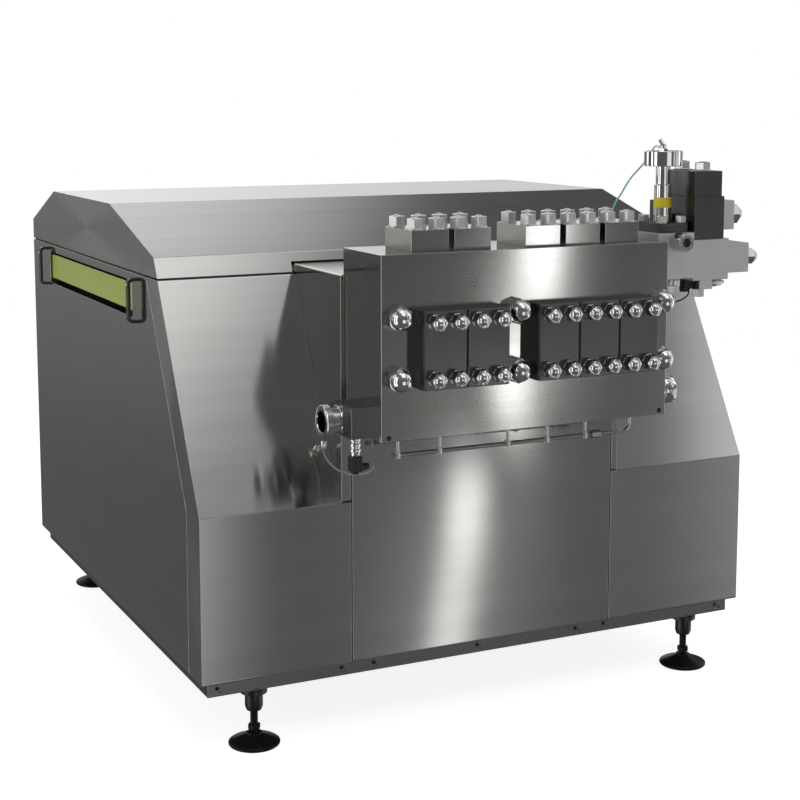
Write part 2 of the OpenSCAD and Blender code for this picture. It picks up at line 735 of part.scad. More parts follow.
module crankcase() color("slategray") placed() difference() {
    union() {
        along_x(crank_x0, crank_x1) polygon(crank_outline(0));
        rod_x(crank_x1 - crank_wall, crank_x1 + boss_l, pulley_y, pulley_z, shaft_d * 2);
    }
    along_x(crank_x0 + crank_wall, crank_x1 - crank_wall) polygon(crank_outline(crank_wall));
    box([crank_x0 + lid_inset + hatch_rim, lid_y0 + hatch_rim, crank_top - 2 * crank_wall],
        [crank_x1 - lid_inset - hatch_rim, lid_y1 - hatch_rim, crank_top + eps]);
    rod_x(crank_x1 - 2 * crank_wall, crank_x1 + boss_l + eps, pulley_y, pulley_z, shaft_d + 2 * clear);
    for (i = [0:plunger_n - 1])
        rod_y(crank_front - eps, crank_front + 2 * crank_wall, plunger_x(i), plunger_h, rod_d + 2 * clear);
}
module crankcase_lid() color("darkslategray") placed() difference() {
    box([crank_x0 + lid_inset, lid_y0, crank_top], [crank_x1 - lid_inset, lid_y1, crank_top + lid_t]);
    box([crank_x0 + lid_inset + lid_rim, lid_y0 + lid_rim, crank_top + lid_rim],
        [crank_x1 - lid_inset - lid_rim, lid_y1 - lid_rim, crank_top + lid_t + eps]);
}

module cheek(x) box([x, sheet_t + clear, plunger_h - cheek_below],
    [x + cheek_t, crank_front, plunger_h + cheek_above]);
module left_cheek() color("slategray") placed() cheek(crank_x0);
module right_cheek() color("slategray") placed() cheek(crank_x1 - cheek_t);

// Rim of a V-belt pulley with its grooves, drawn round the Z axis
module grooved_rim(d, bore) {
    low = belt_w / 2 + clear;
    high = belt_pitch / 2 - 2;
    rotate_extrude($fn = 96) difference() {
        translate([bore / 2, 0]) square([(d - bore) / 2, pulley_w]);
        for (i = [0:belt_n - 1]) translate([d / 2, belt_line_x(i)])
            polygon([[eps, -high], [-groove_h, -low], [-groove_h, low], [eps, high]]);
    }
}

module drive_pulley() color("dimgray") placed() translate([pulley_x, pulley_y, pulley_z])
    rotate([0, 90, 0]) {
        grooved_rim(pulley_d, pulley_d - 2 * rim_d);
        difference() {
            translate([0, 0, pulley_w / 2 - rim_d / 4]) cylinder(d = pulley_d - 2 * rim_d + eps, h = rim_d / 2);
            for (a = [0:60:300]) rotate(a) translate([pulley_d * 0.27, 0, 0])
                cylinder(d = pulley_d * 0.17, h = pulley_w);
        }
        cylinder(d = shaft_d * 1.9, h = pulley_w);
        translate([0, 0, crank_x1 - crank_wall - 20 - pulley_x])
            cylinder(d = shaft_d, h = pulley_w + 15 - (crank_x1 - crank_wall - 20 - pulley_x));
    }

module motor_pulley() color("dimgray") placed() translate([pulley_x, motor_y, motor_z])
    rotate([0, 90, 0]) grooved_rim(motor_pulley_d, shaft_d + 2 * clear);

module motor() color("steelblue") placed() translate([motor_x0, motor_y, motor_z]) {
    cowl = motor_l * 0.2;
    fins = 30;
    rotate([0, 90, 0]) {
        cylinder(d = motor_d * 0.98, h = cowl, $fn = 64);
        translate([0, 0, cowl + 8]) cylinder(d = motor_d * 0.9, h = motor_l - cowl - 68, $fn = 64);
        translate([0, 0, cowl - eps]) cylinder(d = motor_d * 0.8, h = 12);
        translate([0, 0, cowl + 20]) linear_extrude(motor_l - cowl - 110)
            for (k = [0:fins - 1]) rotate(360 * k / fins)
                translate([motor_d * 0.44, -4]) square([motor_d * 0.06, 8]);
        translate([0, 0, motor_l - 62]) cylinder(d = motor_d, h = 30, $fn = 64);
        translate([0, 0, motor_l - 33]) cylinder(d1 = motor_d * 0.8, d2 = motor_d * 0.4, h = 33);
        cylinder(d = shaft_d, h = pulley_x + pulley_w - motor_x0);
    }
    for (x = [1, -1] * slide_span / 2) translate([motor_l / 2 + x, 0, 0])
        box([-slide_w / 2 + 5, -motor_d * 0.48, -motor_axis], [slide_w / 2 - 5, motor_d * 0.48, -motor_d * 0.3]);
    box([motor_l * 0.5, -150, motor_d * 0.4], [motor_l * 0.78, 150, motor_d * 0.5 + 110]);
}

// Closed belt line that runs at a depth under both pulleys' rims
module belt_loop(depth) polygon(belt_line([pulley_y, pulley_z], pulley_d / 2 - depth,
    [motor_y, motor_z], motor_pulley_d / 2 - depth));

module drive_belts() color("black") placed() for (i = [0:belt_n - 1]) {
    x = pulley_x + belt_line_x(i);
    along_x(x - belt_w / 2, x + belt_w / 2) difference() {
        belt_loop(groove_h - belt_clear - belt_h);
        belt_loop(groove_h - belt_clear);
    }
}

// Cylinder block with its covers

module cylinder_block() color("lightgray") placed() difference() {
    union() {
        box([block_x0, block_front, block_z0], [block_x1, 0, block_z1]);
        for (i = [0:plunger_n - 1]) rod_y(-eps, packing_l, plunger_x(i), plunger_h, packing_d);
    }
    for (i = [0:plunger_n - 1]) {
        rod_y(block_front - eps, packing_l + eps, plunger_x(i), plunger_h, plunger_d + 2 * clear);
        rod_z(suction_z, block_z1 + eps, plunger_x(i), top_y, valve_bore);
    }
    rod_x(block_x0 - eps, block_x1 + eps, suction_y, suction_z, suction_d - 4);
    rod_x(plunger_x(0), block_x1 + eps, valve_y, delivery_z, delivery_d);
}

module plunger(i) color("white") placed() {
    tip = block_front * 0.55;
    rod_y(tip, 50, plunger_x(i), plunger_h, plunger_d);
    rod_y(49, 60, plunger_x(i), plunger_h, rod_d * 1.3);
    rod_y(62, 110, plunger_x(i), plunger_h, rod_d * 1.3);
    rod_y(59, 63, plunger_x(i), plunger_h, rod_d);
    rod_y(109, crank_front + crank_wall + stroke, plunger_x(i), plunger_h, rod_d);
}

module front_covers(first, last) color("gainsboro") placed() for (i = [first:last]) {
    x = plunger_x(i);
    half = cover_w / 2;
    translate([x, 0, plunger_h - cover_h / 2]) linear_extrude(cover_h)
        polygon([[-half, block_front], [-half, cover_face + cover_edge], [cover_edge - half, cover_face],
            [half - cover_edge, cover_face], [half, cover_face + cover_edge], [half, block_front]]);
    rod_y(block_front - eps, block_front + 22, x, plunger_h, plunger_d);
}

module top_covers(first, last) color("gainsboro") placed() for (i = [first:last]) {
    x = plunger_x(i);
    box([x - top_w / 2, top_y - top_d / 2, block_z1], [x + top_w / 2, top_y + top_d / 2, block_z1 + top_t]);
    rod_z(block_z1 - 26, block_z1 + eps, x, top_y, valve_bore - 2 * clear);
}

module front_cover_nuts() color("white") placed()
    for (i = [0:plunger_n - 1], x = [-1, 1], z = [-1, 1])
        translate([plunger_x(i) + x * nut_pitch / 2, cover_face, plunger_h + z * nut_rows / 2])
            rotate([90, 0, 0]) cap_nut(front_af, front_nut_l, 0.5);

module top_cover_nuts() color("white") placed()
    for (i = [0:plunger_n - 1], x = [-1, 1], y = [-1, 1])
        translate([plunger_x(i) + x * nut_pitch / 2, top_y + y * top_rows / 2, block_z1 + top_t])
            cap_nut(top_af, top_nut_l, 0.8);

module block_dome_nuts() color("white") placed() {
    bank_mid = (plunger_x(left_bank - 1) + plunger_x(left_bank)) / 2;
    for (x = [block_x0 + dome_left, bank_mid, block_x1 - dome_right], z = [-1, 1])
        translate([x, block_front, (block_z0 + block_z1) / 2 + z * dome_rows / 2])
            rotate([90, 30, 0]) cap_nut(dome_af, dome_l, 0.45, 0.98);
}

// Suction line

module suction_manifold() color("lightgray") placed() difference() {
    union() {
        box([manifold_x, suction_y - manifold_d / 2, manifold_z0],
            [block_x0, suction_y + manifold_d / 2, manifold_z0 + manifold_h]);
        rod_x(manifold_x - union_l, manifold_x + eps, suction_y, suction_z, union_d * 0.84);
        rod_x(manifold_x - union_l, manifold_x - union_l + 22, suction_y, suction_z, union_d);
        rod_x(manifold_x - 14, manifold_x + eps, suction_y, suction_z, manifold_h - 2);
    }
    rod_x(manifold_x - union_l - eps, block_x0 + eps, suction_y, suction_z, suction_d);
}

module suction_sensor() color("silver") placed() translate([probe_x, suction_y, probe_z]) {
    cylinder(d = probe_d, h = probe_l);
    for (z = [0.2, 0.45, 0.7]) translate([0, 0, probe_l * z]) cylinder(d = probe_d * 1.22, h = probe_l * 0.14);
}

module sensor_connector() color("black") placed() translate([probe_x, suction_y, probe_z - plug_h]) {
    box([-plug_w / 2, -plug_w / 2, 8], [plug_w / 2, plug_w / 2, plug_h]);
    cylinder(d = plug_w * 0.7, h = 10);
    translate([0, 0, plug_h * 0.37]) rotate([0, 90, 0]) {
        cylinder(d = plug_w * 0.66, h = plug_w / 2 + 14);
        hex(gland_d, plug_w / 2 + 26);
    }
}

module suction_end_cap() color("silver") placed() {
    rod_x(block_x1, block_x1 + cap_l * 0.4, suction_y, suction_z, union_d * 0.84);
    translate([block_x1 + cap_l * 0.4 - eps, suction_y, suction_z]) rotate([0, 90, 0]) {
        cylinder(d = union_d, h = cap_l * 0.45);
        translate([0, 0, cap_l * 0.45]) dome(union_d * 0.42, cap_l * 0.15);
    }
}

module flush_rail() color("silver") placed() {
    z = block_z0 - flush_drop;
    lag = 48;
    turn = 30;
    x1 = plunger_x(plunger_n - 1) - lag;
    x2 = block_x1 - 20;
    rod_x(plunger_x(0) - lag - 20, x1 + 24, -flush_front, z, flush_d);
    for (i = [0:plunger_n - 1]) {
        rod_z(z, block_z0, plunger_x(i) - lag, -flush_front, flush_d * 0.8);
        rod_z(z - flush_d * 0.7, z + flush_d * 0.7, plunger_x(i) - lag, -flush_front, flush_d * 1.3);
    }
    translate([x1 + 22, -flush_front, z]) rotate([0, 90, 0]) hex(flush_d * 1.7, 34);
    rod_x(x1 + 50, x2 - turn, -flush_front, z, flush_d * 0.8);
    translate([x2 - turn, -flush_front, z + turn]) rotate([90, 0, 0])
        rotate_extrude(angle = -90) translate([turn, 0]) circle(d = flush_d * 0.8);
    rod_z(z + turn, block_z0, x2, -flush_front, flush_d * 0.8);
}

// Homogenizing valve

module valve_base() color("lightgray") placed() difference() {
    box([block_x1, valve_front, base_z0], [base_x1, valve_front + base_d, base_z1]);
    rod_x(block_x1 - eps, base_x1 + eps, valve_y, delivery_z, delivery_d);
    rod_z(delivery_z, base_z1 + eps, gauge_x, gauge_y, neck_d * 0.6);
}

module stage_one_body() color("lightgray") placed() difference() {
    box([base_x1, valve_front + 4, one_z0], [one_x1, valve_front + base_d, one_z1]);
    rod_x(base_x1 - eps, one_x1 + eps, valve_y, delivery_z, delivery_d);
    rod_z(delivery_z, one_z1 + eps, two_x, valve_y, delivery_d * 0.8);
}

module stage_one_cap() color("lightgray") placed() {
    mid = (one_z0 + one_z1) / 2;
    box([one_x1, valve_front + 14, mid - one_cap_h / 2],
        [one_x1 + one_cap_w, valve_front + base_d - 10, mid + one_cap_h / 2]);
    translate([one_x1 + one_cap_w, valve_y - 40, mid]) rotate([0, 90, 0]) cap_nut(dome_af * 0.62, dome_l * 0.85, 0.4);
}

// Second stage with the elbow block of the product outlet behind it
module stage_two_body() color("dimgray") placed() difference() {
    elbow_y = two_back + elbow_w / 2;
    elbow_x1 = two_x + elbow_w / 2;
    mouth = elbow_x1 + outlet_l;
    passage = delivery_d * 0.8;
    union() {
        box([base_x1, valve_front, one_z1], [base_x1 + two_w, two_back, two_z1]);
        box([two_x - elbow_w / 2, two_back - eps, two_mid - elbow_w / 2],
            [elbow_x1, two_back + elbow_w, two_mid + elbow_w / 2]);
        rod_x(elbow_x1 - eps, mouth, elbow_y, two_mid, outlet_thread * 0.84);
        rod_x(mouth - outlet_l / 2, mouth, elbow_y, two_mid, outlet_thread);
    }
    rod_x(elbow_x1 - 20, mouth + eps, elbow_y, two_mid, outlet_d);
    rod_x(two_x, elbow_x1, elbow_y, two_mid, delivery_d);
    rod_y(valve_y, elbow_y, two_x, two_mid, passage);
    rod_z(one_z1 - eps, two_mid, two_x, valve_y, passage);
}

module stage_two_cap() color("dimgray") placed()
    box([base_x1, valve_front, two_z1], [base_x1 + two_cap_w, two_back, two_cap_z1]);

module stage_two_side_cap() color("silver") placed() {
    x = base_x1 + two_w;
    y = valve_front + side_w * 0.75;
    z = two_mid + 5;
    box([x, y - side_w / 2, z - side_w / 2], [x + side_t, y + side_w / 2, z + side_w / 2]);
    translate([x + side_t, y, z]) rotate([0, 90, 0]) cap_nut(dome_af * 0.78, dome_l * 0.88, 0.45);
}

// Nuts and bolts of the valve, its socket plug and the fittings under it
module valve_fasteners() color("white") placed() {
    small_af = top_af * 0.65;
    plug_d = 58;
    drain_d = 44;
    under_y = valve_y - 40;
    relief_x = base_x1 + base_w * 0.5;
    relief_h = 33;
    bleed_d = 22;
    for (y = [-1, 1]) translate([base_x1 + two_cap_w / 2, two_y + y * two_d * 0.3, two_cap_z1])
        cap_nut(top_af, top_nut_l * 0.8, 0.9);
    for (x = [-1, 1], y = [-1, 1])
        translate([gauge_x + x * gauge_flange_w * 0.35, gauge_y + y * gauge_flange_d * 0.36, gauge_z])
            hex(small_af * 1.1, 22);
    translate([gauge_x, valve_front, base_z1 - 28]) rotate([90, 0, 0]) difference() {
        cylinder(d = plug_d, h = 50);
        translate([0, 0, 26]) hex(plug_d / 2, 25);
    }
    translate([block_x1 + base_w * 0.79, valve_y - 25, base_z0]) rotate([180, 0, 0]) {
        cylinder(d = drain_d, h = 30);
        translate([0, 0, 29]) hex(drain_d * 0.82, 24);
    }
    translate([relief_x, under_y, one_z0]) rotate([180, 0, 0]) {
        box([-26, -26, 0], [26, 26, relief_h]);
        translate([-13, 0, relief_h - eps]) hex(drain_d * 0.88, 26);
    }
    rod_z(one_z0 - bleed_d * 0.7, one_z0, relief_x + 52, under_y, bleed_d * 0.6);
    translate([relief_x + 34, under_y, one_z0 - bleed_d * 0.7]) rotate([0, 90, 0]) {
        cylinder(d = bleed_d, h = 44);
        translate([0, 0, 10]) hex(bleed_d * 1.1, 16);
        translate([0, 0, 43]) cylinder(d = bleed_d * 0.5, h = 14);
    }
}

module pressure_flange() color("dimgray") placed() difference() {
    box([gauge_x - gauge_flange_w / 2, gauge_y - gauge_flange_d / 2, base_z1],
        [gauge_x + gauge_flange_w / 2, gauge_y + gauge_flange_d / 2, gauge_z]);
    rod_z(base_z1 - eps, gauge_z + eps, gauge_x, gauge_y, neck_d * 0.6);
}

module pressure_sensor() color("white") placed() translate([gauge_x, gauge_y, gauge_z]) {
    top = gauge_h + neck_h;
    rotate_extrude() polygon(rounded([[0, 0, 0], [gauge_d / 2, 0, 2], [gauge_d / 2, gauge_h, 3],
        [neck_d / 2, gauge_h, 2], [neck_d / 2, top, 2], [head_d / 2, top, 3],
        [head_d / 2, top + head_h, 3], [0, top + head_h, 0]]));
    translate([0, 0, top + head_h - eps]) {
        hex(gland_d * 1.4, stub_rise * 0.6);
        cylinder(d = gland_d, h = stub_rise * 1.8);
        translate([0, 0, stub_rise + eps]) rotate([-90, 0, 0]) cylinder(d = gland_d * 0.6, h = stub_l);
        translate([0, 0, stub_rise]) rotate([0, -30, 0]) cylinder(d = gland_d * 0.7, h = 30);
    }
}

module valve_connector() color("black") placed() {
    wide = 22;
    back = valve_y - 22;
    box([plug_x - 31, back - wide, plug_z + 8], [plug_x + 8, back + wide, one_z0]);
    rod_z(plug_z, plug_z + 9, plug_x, back, gland_d * 0.6);
    rod_z(plug_z - 6, plug_z + 9, plug_x - 21, back, gland_d * 1.6);
}

// Leads and the glands that they enter

module cable_glands() color("silver") placed() {
    wing_y = suction_end[1] + gland_stand;
    lean = atan(1 / slope_lean);
    translate([suction_end[0], wing_y, crease_h + wing_y / slope_lean]) {
        rotate([lean, 0, 0]) hex(gland_d * 1.4, 10);
        rotate([lean, 0, 0]) cylinder(d = gland_d * 0.6, h = gland_stand / sin(lean));
        translate([0, -gland_stand, gland_stand / 4]) cylinder(d = gland_d * 1.1, h = gland_l * 1.4);
    }
    translate([pressure_end[0], pressure_end[1], tower_h]) {
        hex(gland_d * 1.3, 8);
        cylinder(d = gland_d, h = pressure_end[2] - tower_h);
    }
    translate([tower_x1, valve_end[1], valve_end[2]]) rotate([0, 90, 0]) {
        hex(gland_d * 1.2, 7);
        cylinder(d = gland_d * 0.9, h = gland_l);
    }
}

module suction_lead() color("gray") placed()
    cord(strung(suction_start, suction_end, suction_shape), lead_d, [0.4, 0.6, -0.7]);
module pressure_lead() color("mediumaquamarine") placed()
    cord(strung(pressure_start, pressure_end, pressure_shape), lead_d, [1, 0.2, 0]);
module valve_lead() color("black") placed()
    cord(strung(valve_start, valve_end, valve_shape), valve_lead_d, [1, 1, 0.2]);

base_frame();
foot(foot_side - half_w, foot_front);  // foot_front_left
foot(half_w - foot_side, foot_front);  // foot_front_right
foot(foot_side - half_w, body_d - foot_back);  // foot_rear_left
foot(half_w - foot_side, body_d - foot_back);  // foot_rear_right
left_wing_panel();
right_wing_panel();
tower_shell();
front_panel();
rear_panel();
left_side_panel();
right_side_panel();
panel_grips();
left_vent_plate();
right_vent_plate();
hood();
hood_seal();
hinge_bases();
hinge_leaves();
crankcase();
crankcase_lid();
drive_pulley();
motor();
motor_pulley();
drive_belts();
left_cheek();
right_cheek();
cylinder_block();
plunger(0);  // plunger_1
plunger(1);  // plunger_2
plunger(2);  // plunger_3
plunger(3);  // plunger_4
plunger(4);  // plunger_5
front_covers(0, left_bank - 1);  // front_covers_left
front_covers(left_bank, plunger_n - 1);  // front_covers_right
top_covers(0, left_bank - 1);  // top_covers_left
top_covers(left_bank, plunger_n - 1);  // top_covers_right
front_cover_nuts();
top_cover_nuts();
block_dome_nuts();
suction_manifold();
suction_sensor();
sensor_connector();
suction_lead();
cable_glands();
suction_end_cap();
flush_rail();
valve_base();
stage_one_body();
stage_one_cap();
stage_two_body();
stage_two_cap();
stage_two_side_cap();
valve_fasteners();
pressure_flange();
pressure_sensor();
valve_connector();
pressure_lead();
valve_lead();
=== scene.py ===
"""Looks of a dairy homogenizer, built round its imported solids.

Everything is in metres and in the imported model's own frame: +X to the right seen from the front,
+Y to the rear, +Z up, with the origin on the floor under the middle of the machine.
"""

import logging
import math
from collections.abc import Callable, Sequence
from dataclasses import dataclass
from enum import Enum
from functools import lru_cache
from typing import Protocol

import bmesh
import bpy
from mathutils import Matrix, Vector


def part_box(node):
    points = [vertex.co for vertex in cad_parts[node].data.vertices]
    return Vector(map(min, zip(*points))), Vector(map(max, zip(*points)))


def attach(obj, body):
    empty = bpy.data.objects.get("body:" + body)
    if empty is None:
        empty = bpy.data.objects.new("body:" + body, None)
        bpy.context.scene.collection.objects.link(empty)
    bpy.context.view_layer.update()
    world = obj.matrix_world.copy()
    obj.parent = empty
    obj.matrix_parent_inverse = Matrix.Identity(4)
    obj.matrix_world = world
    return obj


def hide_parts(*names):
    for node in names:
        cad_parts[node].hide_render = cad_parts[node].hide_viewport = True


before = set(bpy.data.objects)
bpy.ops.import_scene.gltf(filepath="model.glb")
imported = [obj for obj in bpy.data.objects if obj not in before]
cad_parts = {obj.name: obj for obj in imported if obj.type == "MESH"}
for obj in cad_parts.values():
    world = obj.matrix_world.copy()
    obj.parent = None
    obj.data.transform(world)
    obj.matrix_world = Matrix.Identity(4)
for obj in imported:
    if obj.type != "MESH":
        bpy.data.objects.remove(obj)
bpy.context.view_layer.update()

MM = 0.001
CABINET = "cabinet"
TURN = 2 * math.pi

Point = tuple[float, float, float]
Colour = tuple[float, float, float]
Ring = Callable[[float], tuple[float, float]]

log = logging.getLogger("homogenizer")


class Facing(Enum):
    """Directions in which a fastener or fitting points, as a turn of its own +Z axis."""

    FRONT = Matrix.Rotation(math.radians(90), 4, "X")
    UP = Matrix.Identity(4)
    LEFT = Matrix.Rotation(math.radians(-90), 4, "Y")
    RIGHT = Matrix.Rotation(math.radians(90), 4, "Y")


class NodeBench:
    """Adds and links the nodes of one shader tree."""

    def __init__(self, tree: bpy.types.NodeTree) -> None:
        """Keeps the tree that the nodes go into."""
        self.tree = tree

    def add(self, kind: str, inputs: dict | None = None, **settings: object) -> bpy.types.Node:
        """Adds one node.

        Args:
            kind: Blender's node type, without its ShaderNode prefix.
            inputs: Sockets by name or number, each with a value or with an output to link.
            settings: Properties of the node itself.

        Returns:
            The new node.
        """
        node = self.tree.nodes.new("ShaderNode" + kind)
        for name, value in settings.items():
            setattr(node, name, value)
        for socket, value in (inputs or {}).items():
            if isinstance(value, bpy.types.NodeSocket):
                self.tree.links.new(value, node.inputs[socket])
            else:
                node.inputs[socket].default_value = value
        return node

    def effect(self, group: bpy.types.NodeTree, **inputs: object) -> bpy.types.Node:
        """Places a node group with its own values.

        Args:
            group: The shared effect.
            inputs: Values of the group's named inputs.

        Returns:
            The group's node.
        """
        node = self.tree.nodes.new("ShaderNodeGroup")
        node.node_tree = group
        for name, value in inputs.items():
            node.inputs[name.replace("_", " ").title()].default_value = value
        return node

    def spread(self, value: bpy.types.NodeSocket, low: float, high: float) -> bpy.types.NodeSocket:
        """Maps a mask onto a range.

        Args:
            value: Mask from 0 to 1.
            low: Result where the mask is 0.
            high: Result where the mask is 1.

        Returns:
            The mapped value.
        """
        node = self.add("MapRange", {"Value": value, "To Min": low, "To Max": high})
        return node.outputs["Result"]

    def blend(self, mask: bpy.types.NodeSocket, low: Colour, high: Colour) -> bpy.types.NodeSocket:
        """Blends two colours by a mask.

        Args:
            mask: Mask from 0 to 1.
            low: Colour where the mask is 0.
            high: Colour where the mask is 1.

        Returns:
            The blended colour.
        """
        node = self.add("Mix", {"Factor": mask, "A": (*low, 1), "B": (*high, 1)}, data_type="RGBA")
        return node.outputs["Result"]


def new_effect(name: str, inputs: dict[str, str], outputs: Sequence[str]) -> bpy.types.NodeTree:
    """Starts a shader node group.

    Args:
        name: Name of the group.
        inputs: Input names with their socket kinds.
        outputs: Names of its value outputs.

    Returns:
        The group with its two end nodes.
    """
    group = bpy.data.node_groups.new(name, "ShaderNodeTree")
    for socket, kind in inputs.items():
        group.interface.new_socket(socket, in_out="INPUT", socket_type="NodeSocket" + kind)
    for socket in outputs:
        group.interface.new_socket(socket, in_out="OUTPUT", socket_type="NodeSocketFloat")
    group.nodes.new("NodeGroupInput")
    group.nodes.new("NodeGroupOutput")
    return group


@lru_cache
def brushed_grain() -> bpy.types.NodeTree:
    """Makes the effect of grinding lines: fine lines and broader bands that run one way.

    Returns:
        The node group, built once.
    """
    group = new_effect("brushed grain", {"Stretch": "Vector"}, ("Lines", "Bands"))
    bench = NodeBench(group)
    given, result = group.nodes["Group Input"], group.nodes["Group Output"]
    place = bench.add("TexCoord").outputs["Object"]
    for output, share, detail in (("Lines", 1.0, 2.0), ("Bands", 0.07, 4.0)):
        scaled = bench.add("VectorMath", {0: place, 1: given.outputs["Stretch"]}, operation="MULTIPLY")
        noise = bench.add("TexNoise", {"Vector": scaled.outputs[0], "Scale": share, "Detail": detail})
        group.links.new(noise.outputs["Fac"], result.inputs[output])
    return group


@lru_cache
def handling_marks() -> bpy.types.NodeTree:
    """Makes the effect of wiped and touched metal: soft cloudy patches.

    Returns:
        The node group, built once.
    """
    group = new_effect("handling marks", {"Scale": "Float"}, ("Mask",))
    bench = NodeBench(group)
    given, result = group.nodes["Group Input"], group.nodes["Group Output"]
    place = bench.add("TexCoord").outputs["Object"]
    noise = bench.add("TexNoise", {"Vector": place, "Scale": given.outputs["Scale"], "Detail": 5.0,
                                   "Roughness": 0.55, "Distortion": 0.4})
    mask = bench.add("MapRange", {"Value": noise.outputs["Fac"], "From Min": 0.35, "From Max": 0.7},
                     interpolation_type="SMOOTHSTEP")
    group.links.new(mask.outputs["Result"], result.inputs["Mask"])
    return group


@lru_cache
def fine_grain() -> bpy.types.NodeTree:
    """Makes the effect of a moulded, cast or sprayed skin: fine bumps and slow mottling.

    Returns:
        The node group, built once.
    """
    group = new_effect("fine grain", {"Scale": "Float"}, ("Bumps", "Mottle"))
    bench = NodeBench(group)
    given, result = group.nodes["Group Input"], group.nodes["Group Output"]
    place = bench.add("TexCoord").outputs["Object"]
    bumps = bench.add("TexNoise", {"Vector": place, "Scale": given.outputs["Scale"], "Detail": 2.0})
    slow = bench.add("Math", {0: given.outputs["Scale"], 1: 0.03}, operation="MULTIPLY")
    mottle = bench.add("TexNoise", {"Vector": place, "Scale": slow.outputs[0], "Detail": 4.0})
    group.links.new(bumps.outputs["Fac"], result.inputs["Bumps"])
    group.links.new(mottle.outputs["Fac"], result.inputs["Mottle"])
    return group


class Finish(Protocol):
    """A finish that can be put on a piece."""

    name: str

    def material(self) -> bpy.types.Material:
        """Gives the finish as a material."""


def shader_of(name: str) -> tuple[bpy.types.Material, NodeBench, bpy.types.Node]:
    """Starts a material.

    Args:
        name: Name of the material.

    Returns:
        The material, a bench for its nodes and its principled shader.
    """
    made = bpy.data.materials.new(name)
    made.use_nodes = True
    return made, NodeBench(made.node_tree), made.node_tree.nodes["Principled BSDF"]


@dataclass(frozen=True)
class BrushedSteel:
    """Ground stainless steel whose lines run one way and stretch its reflections across them."""

    name: str
    light: Colour = (0.60, 0.59, 0.575)
    dark: Colour = (0.50, 0.495, 0.485)
    roughness: float = 0.125
    spread: float = 0.025
    stretch: float = 0.95
    lines_along: Point = (1.0, 0.0, 0.0)
    turn_axis: str = "X"
    fineness: float = 260.0
    line_run: float = 1.2
    touch_size: float = 2.6
    relief: float = 0.002

    @lru_cache
    def material(self) -> bpy.types.Material:
        """Gives the finish as a material.

        Returns:
            The material, built once.
        """
        made, bench, shader = shader_of(self.name)
        along = [self.line_run if share else self.fineness for share in self.lines_along]
        grain = bench.effect(brushed_grain(), stretch=along)
        marks = bench.effect(handling_marks(), scale=self.touch_size)
        links = made.node_tree.links
        links.new(bench.blend(grain.outputs["Bands"], self.dark, self.light), shader.inputs["Base Color"])
        low, high = self.roughness - self.spread / 2, self.roughness + self.spread / 2
        lines = bench.spread(grain.outputs["Lines"], low, high)
        touched = bench.spread(marks.outputs["Mask"], 0.0, self.spread / 2)
        rough = bench.add("Math", {0: lines, 1: touched}, operation="ADD")
        links.new(rough.outputs[0], shader.inputs["Roughness"])
        bump = bench.add("Bump", {"Strength": self.relief, "Distance": MM, "Height": grain.outputs["Lines"]})
        links.new(bump.outputs["Normal"], shader.inputs["Normal"])
        tangent = bench.add("Tangent", direction_type="RADIAL", axis=self.turn_axis)
        links.new(tangent.outputs["Tangent"], shader.inputs["Tangent"])
        shader.inputs["Metallic"].default_value = 1.0
        shader.inputs["Anisotropic"].default_value = self.stretch
        return made


@dataclass(frozen=True)
class PolishedSteel:
    """Polished stainless steel or chrome with faint wipe marks."""

    name: str
    colour: Colour = (0.74, 0.74, 0.73)
    dull: Colour = (0.66, 0.66, 0.65)
    roughness: float = 0.07
    spread: float = 0.08
    marks: float = 9.0

    @lru_cache
    def material(self) -> bpy.types.Material:
        """Gives the finish as a material.

        Returns:
            The material, built once.
        """
        made, bench, shader = shader_of(self.name)
        marks = bench.effect(handling_marks(), scale=self.marks)
        mask = marks.outputs["Mask"]
        links = made.node_tree.links
        links.new(bench.blend(mask, self.colour, self.dull), shader.inputs["Base Color"])
        rough = bench.spread(mask, self.roughness, self.roughness + self.spread)
        links.new(rough, shader.inputs["Roughness"])
        shader.inputs["Metallic"].default_value = 1.0
        return made


@dataclass(frozen=True)
class SkinFinish:
    """Paint, plastic, rubber, ceramic or cast metal with a fine skin."""

    name: str
    light: Colour
    dark: Colour
    roughness: float = 0.4
    spread: float = 0.1
    metallic: float = 0.0
    coat: float = 0.0
    mirror: float = 0.5
    coat_roughness: float = 0.08
    grain: float = 500.0
    relief: float = 0.08

    @lru_cache
    def material(self) -> bpy.types.Material:
        """Gives the finish as a material.

        Returns:
            The material, built once.
        """
        made, bench, shader = shader_of(self.name)
        skin = bench.effect(fine_grain(), scale=self.grain)
        mottle = skin.outputs["Mottle"]
        links = made.node_tree.links
        links.new(bench.blend(mottle, self.dark, self.light), shader.inputs["Base Color"])
        rough = bench.spread(mottle, self.roughness - self.spread / 2, self.roughness + self.spread / 2)
        links.new(rough, shader.inputs["Roughness"])
        bump = bench.add("Bump", {"Strength": self.relief, "Distance": MM, "Height": skin.outputs["Bumps"]})
        links.new(bump.outputs["Normal"], shader.inputs["Normal"])
        shader.inputs["Metallic"].default_value = self.metallic
        shader.inputs["Specular IOR Level"].default_value = self.mirror
        shader.inputs["Coat Weight"].default_value = self.coat
        shader.inputs["Coat Roughness"].default_value = self.coat_roughness
        return made


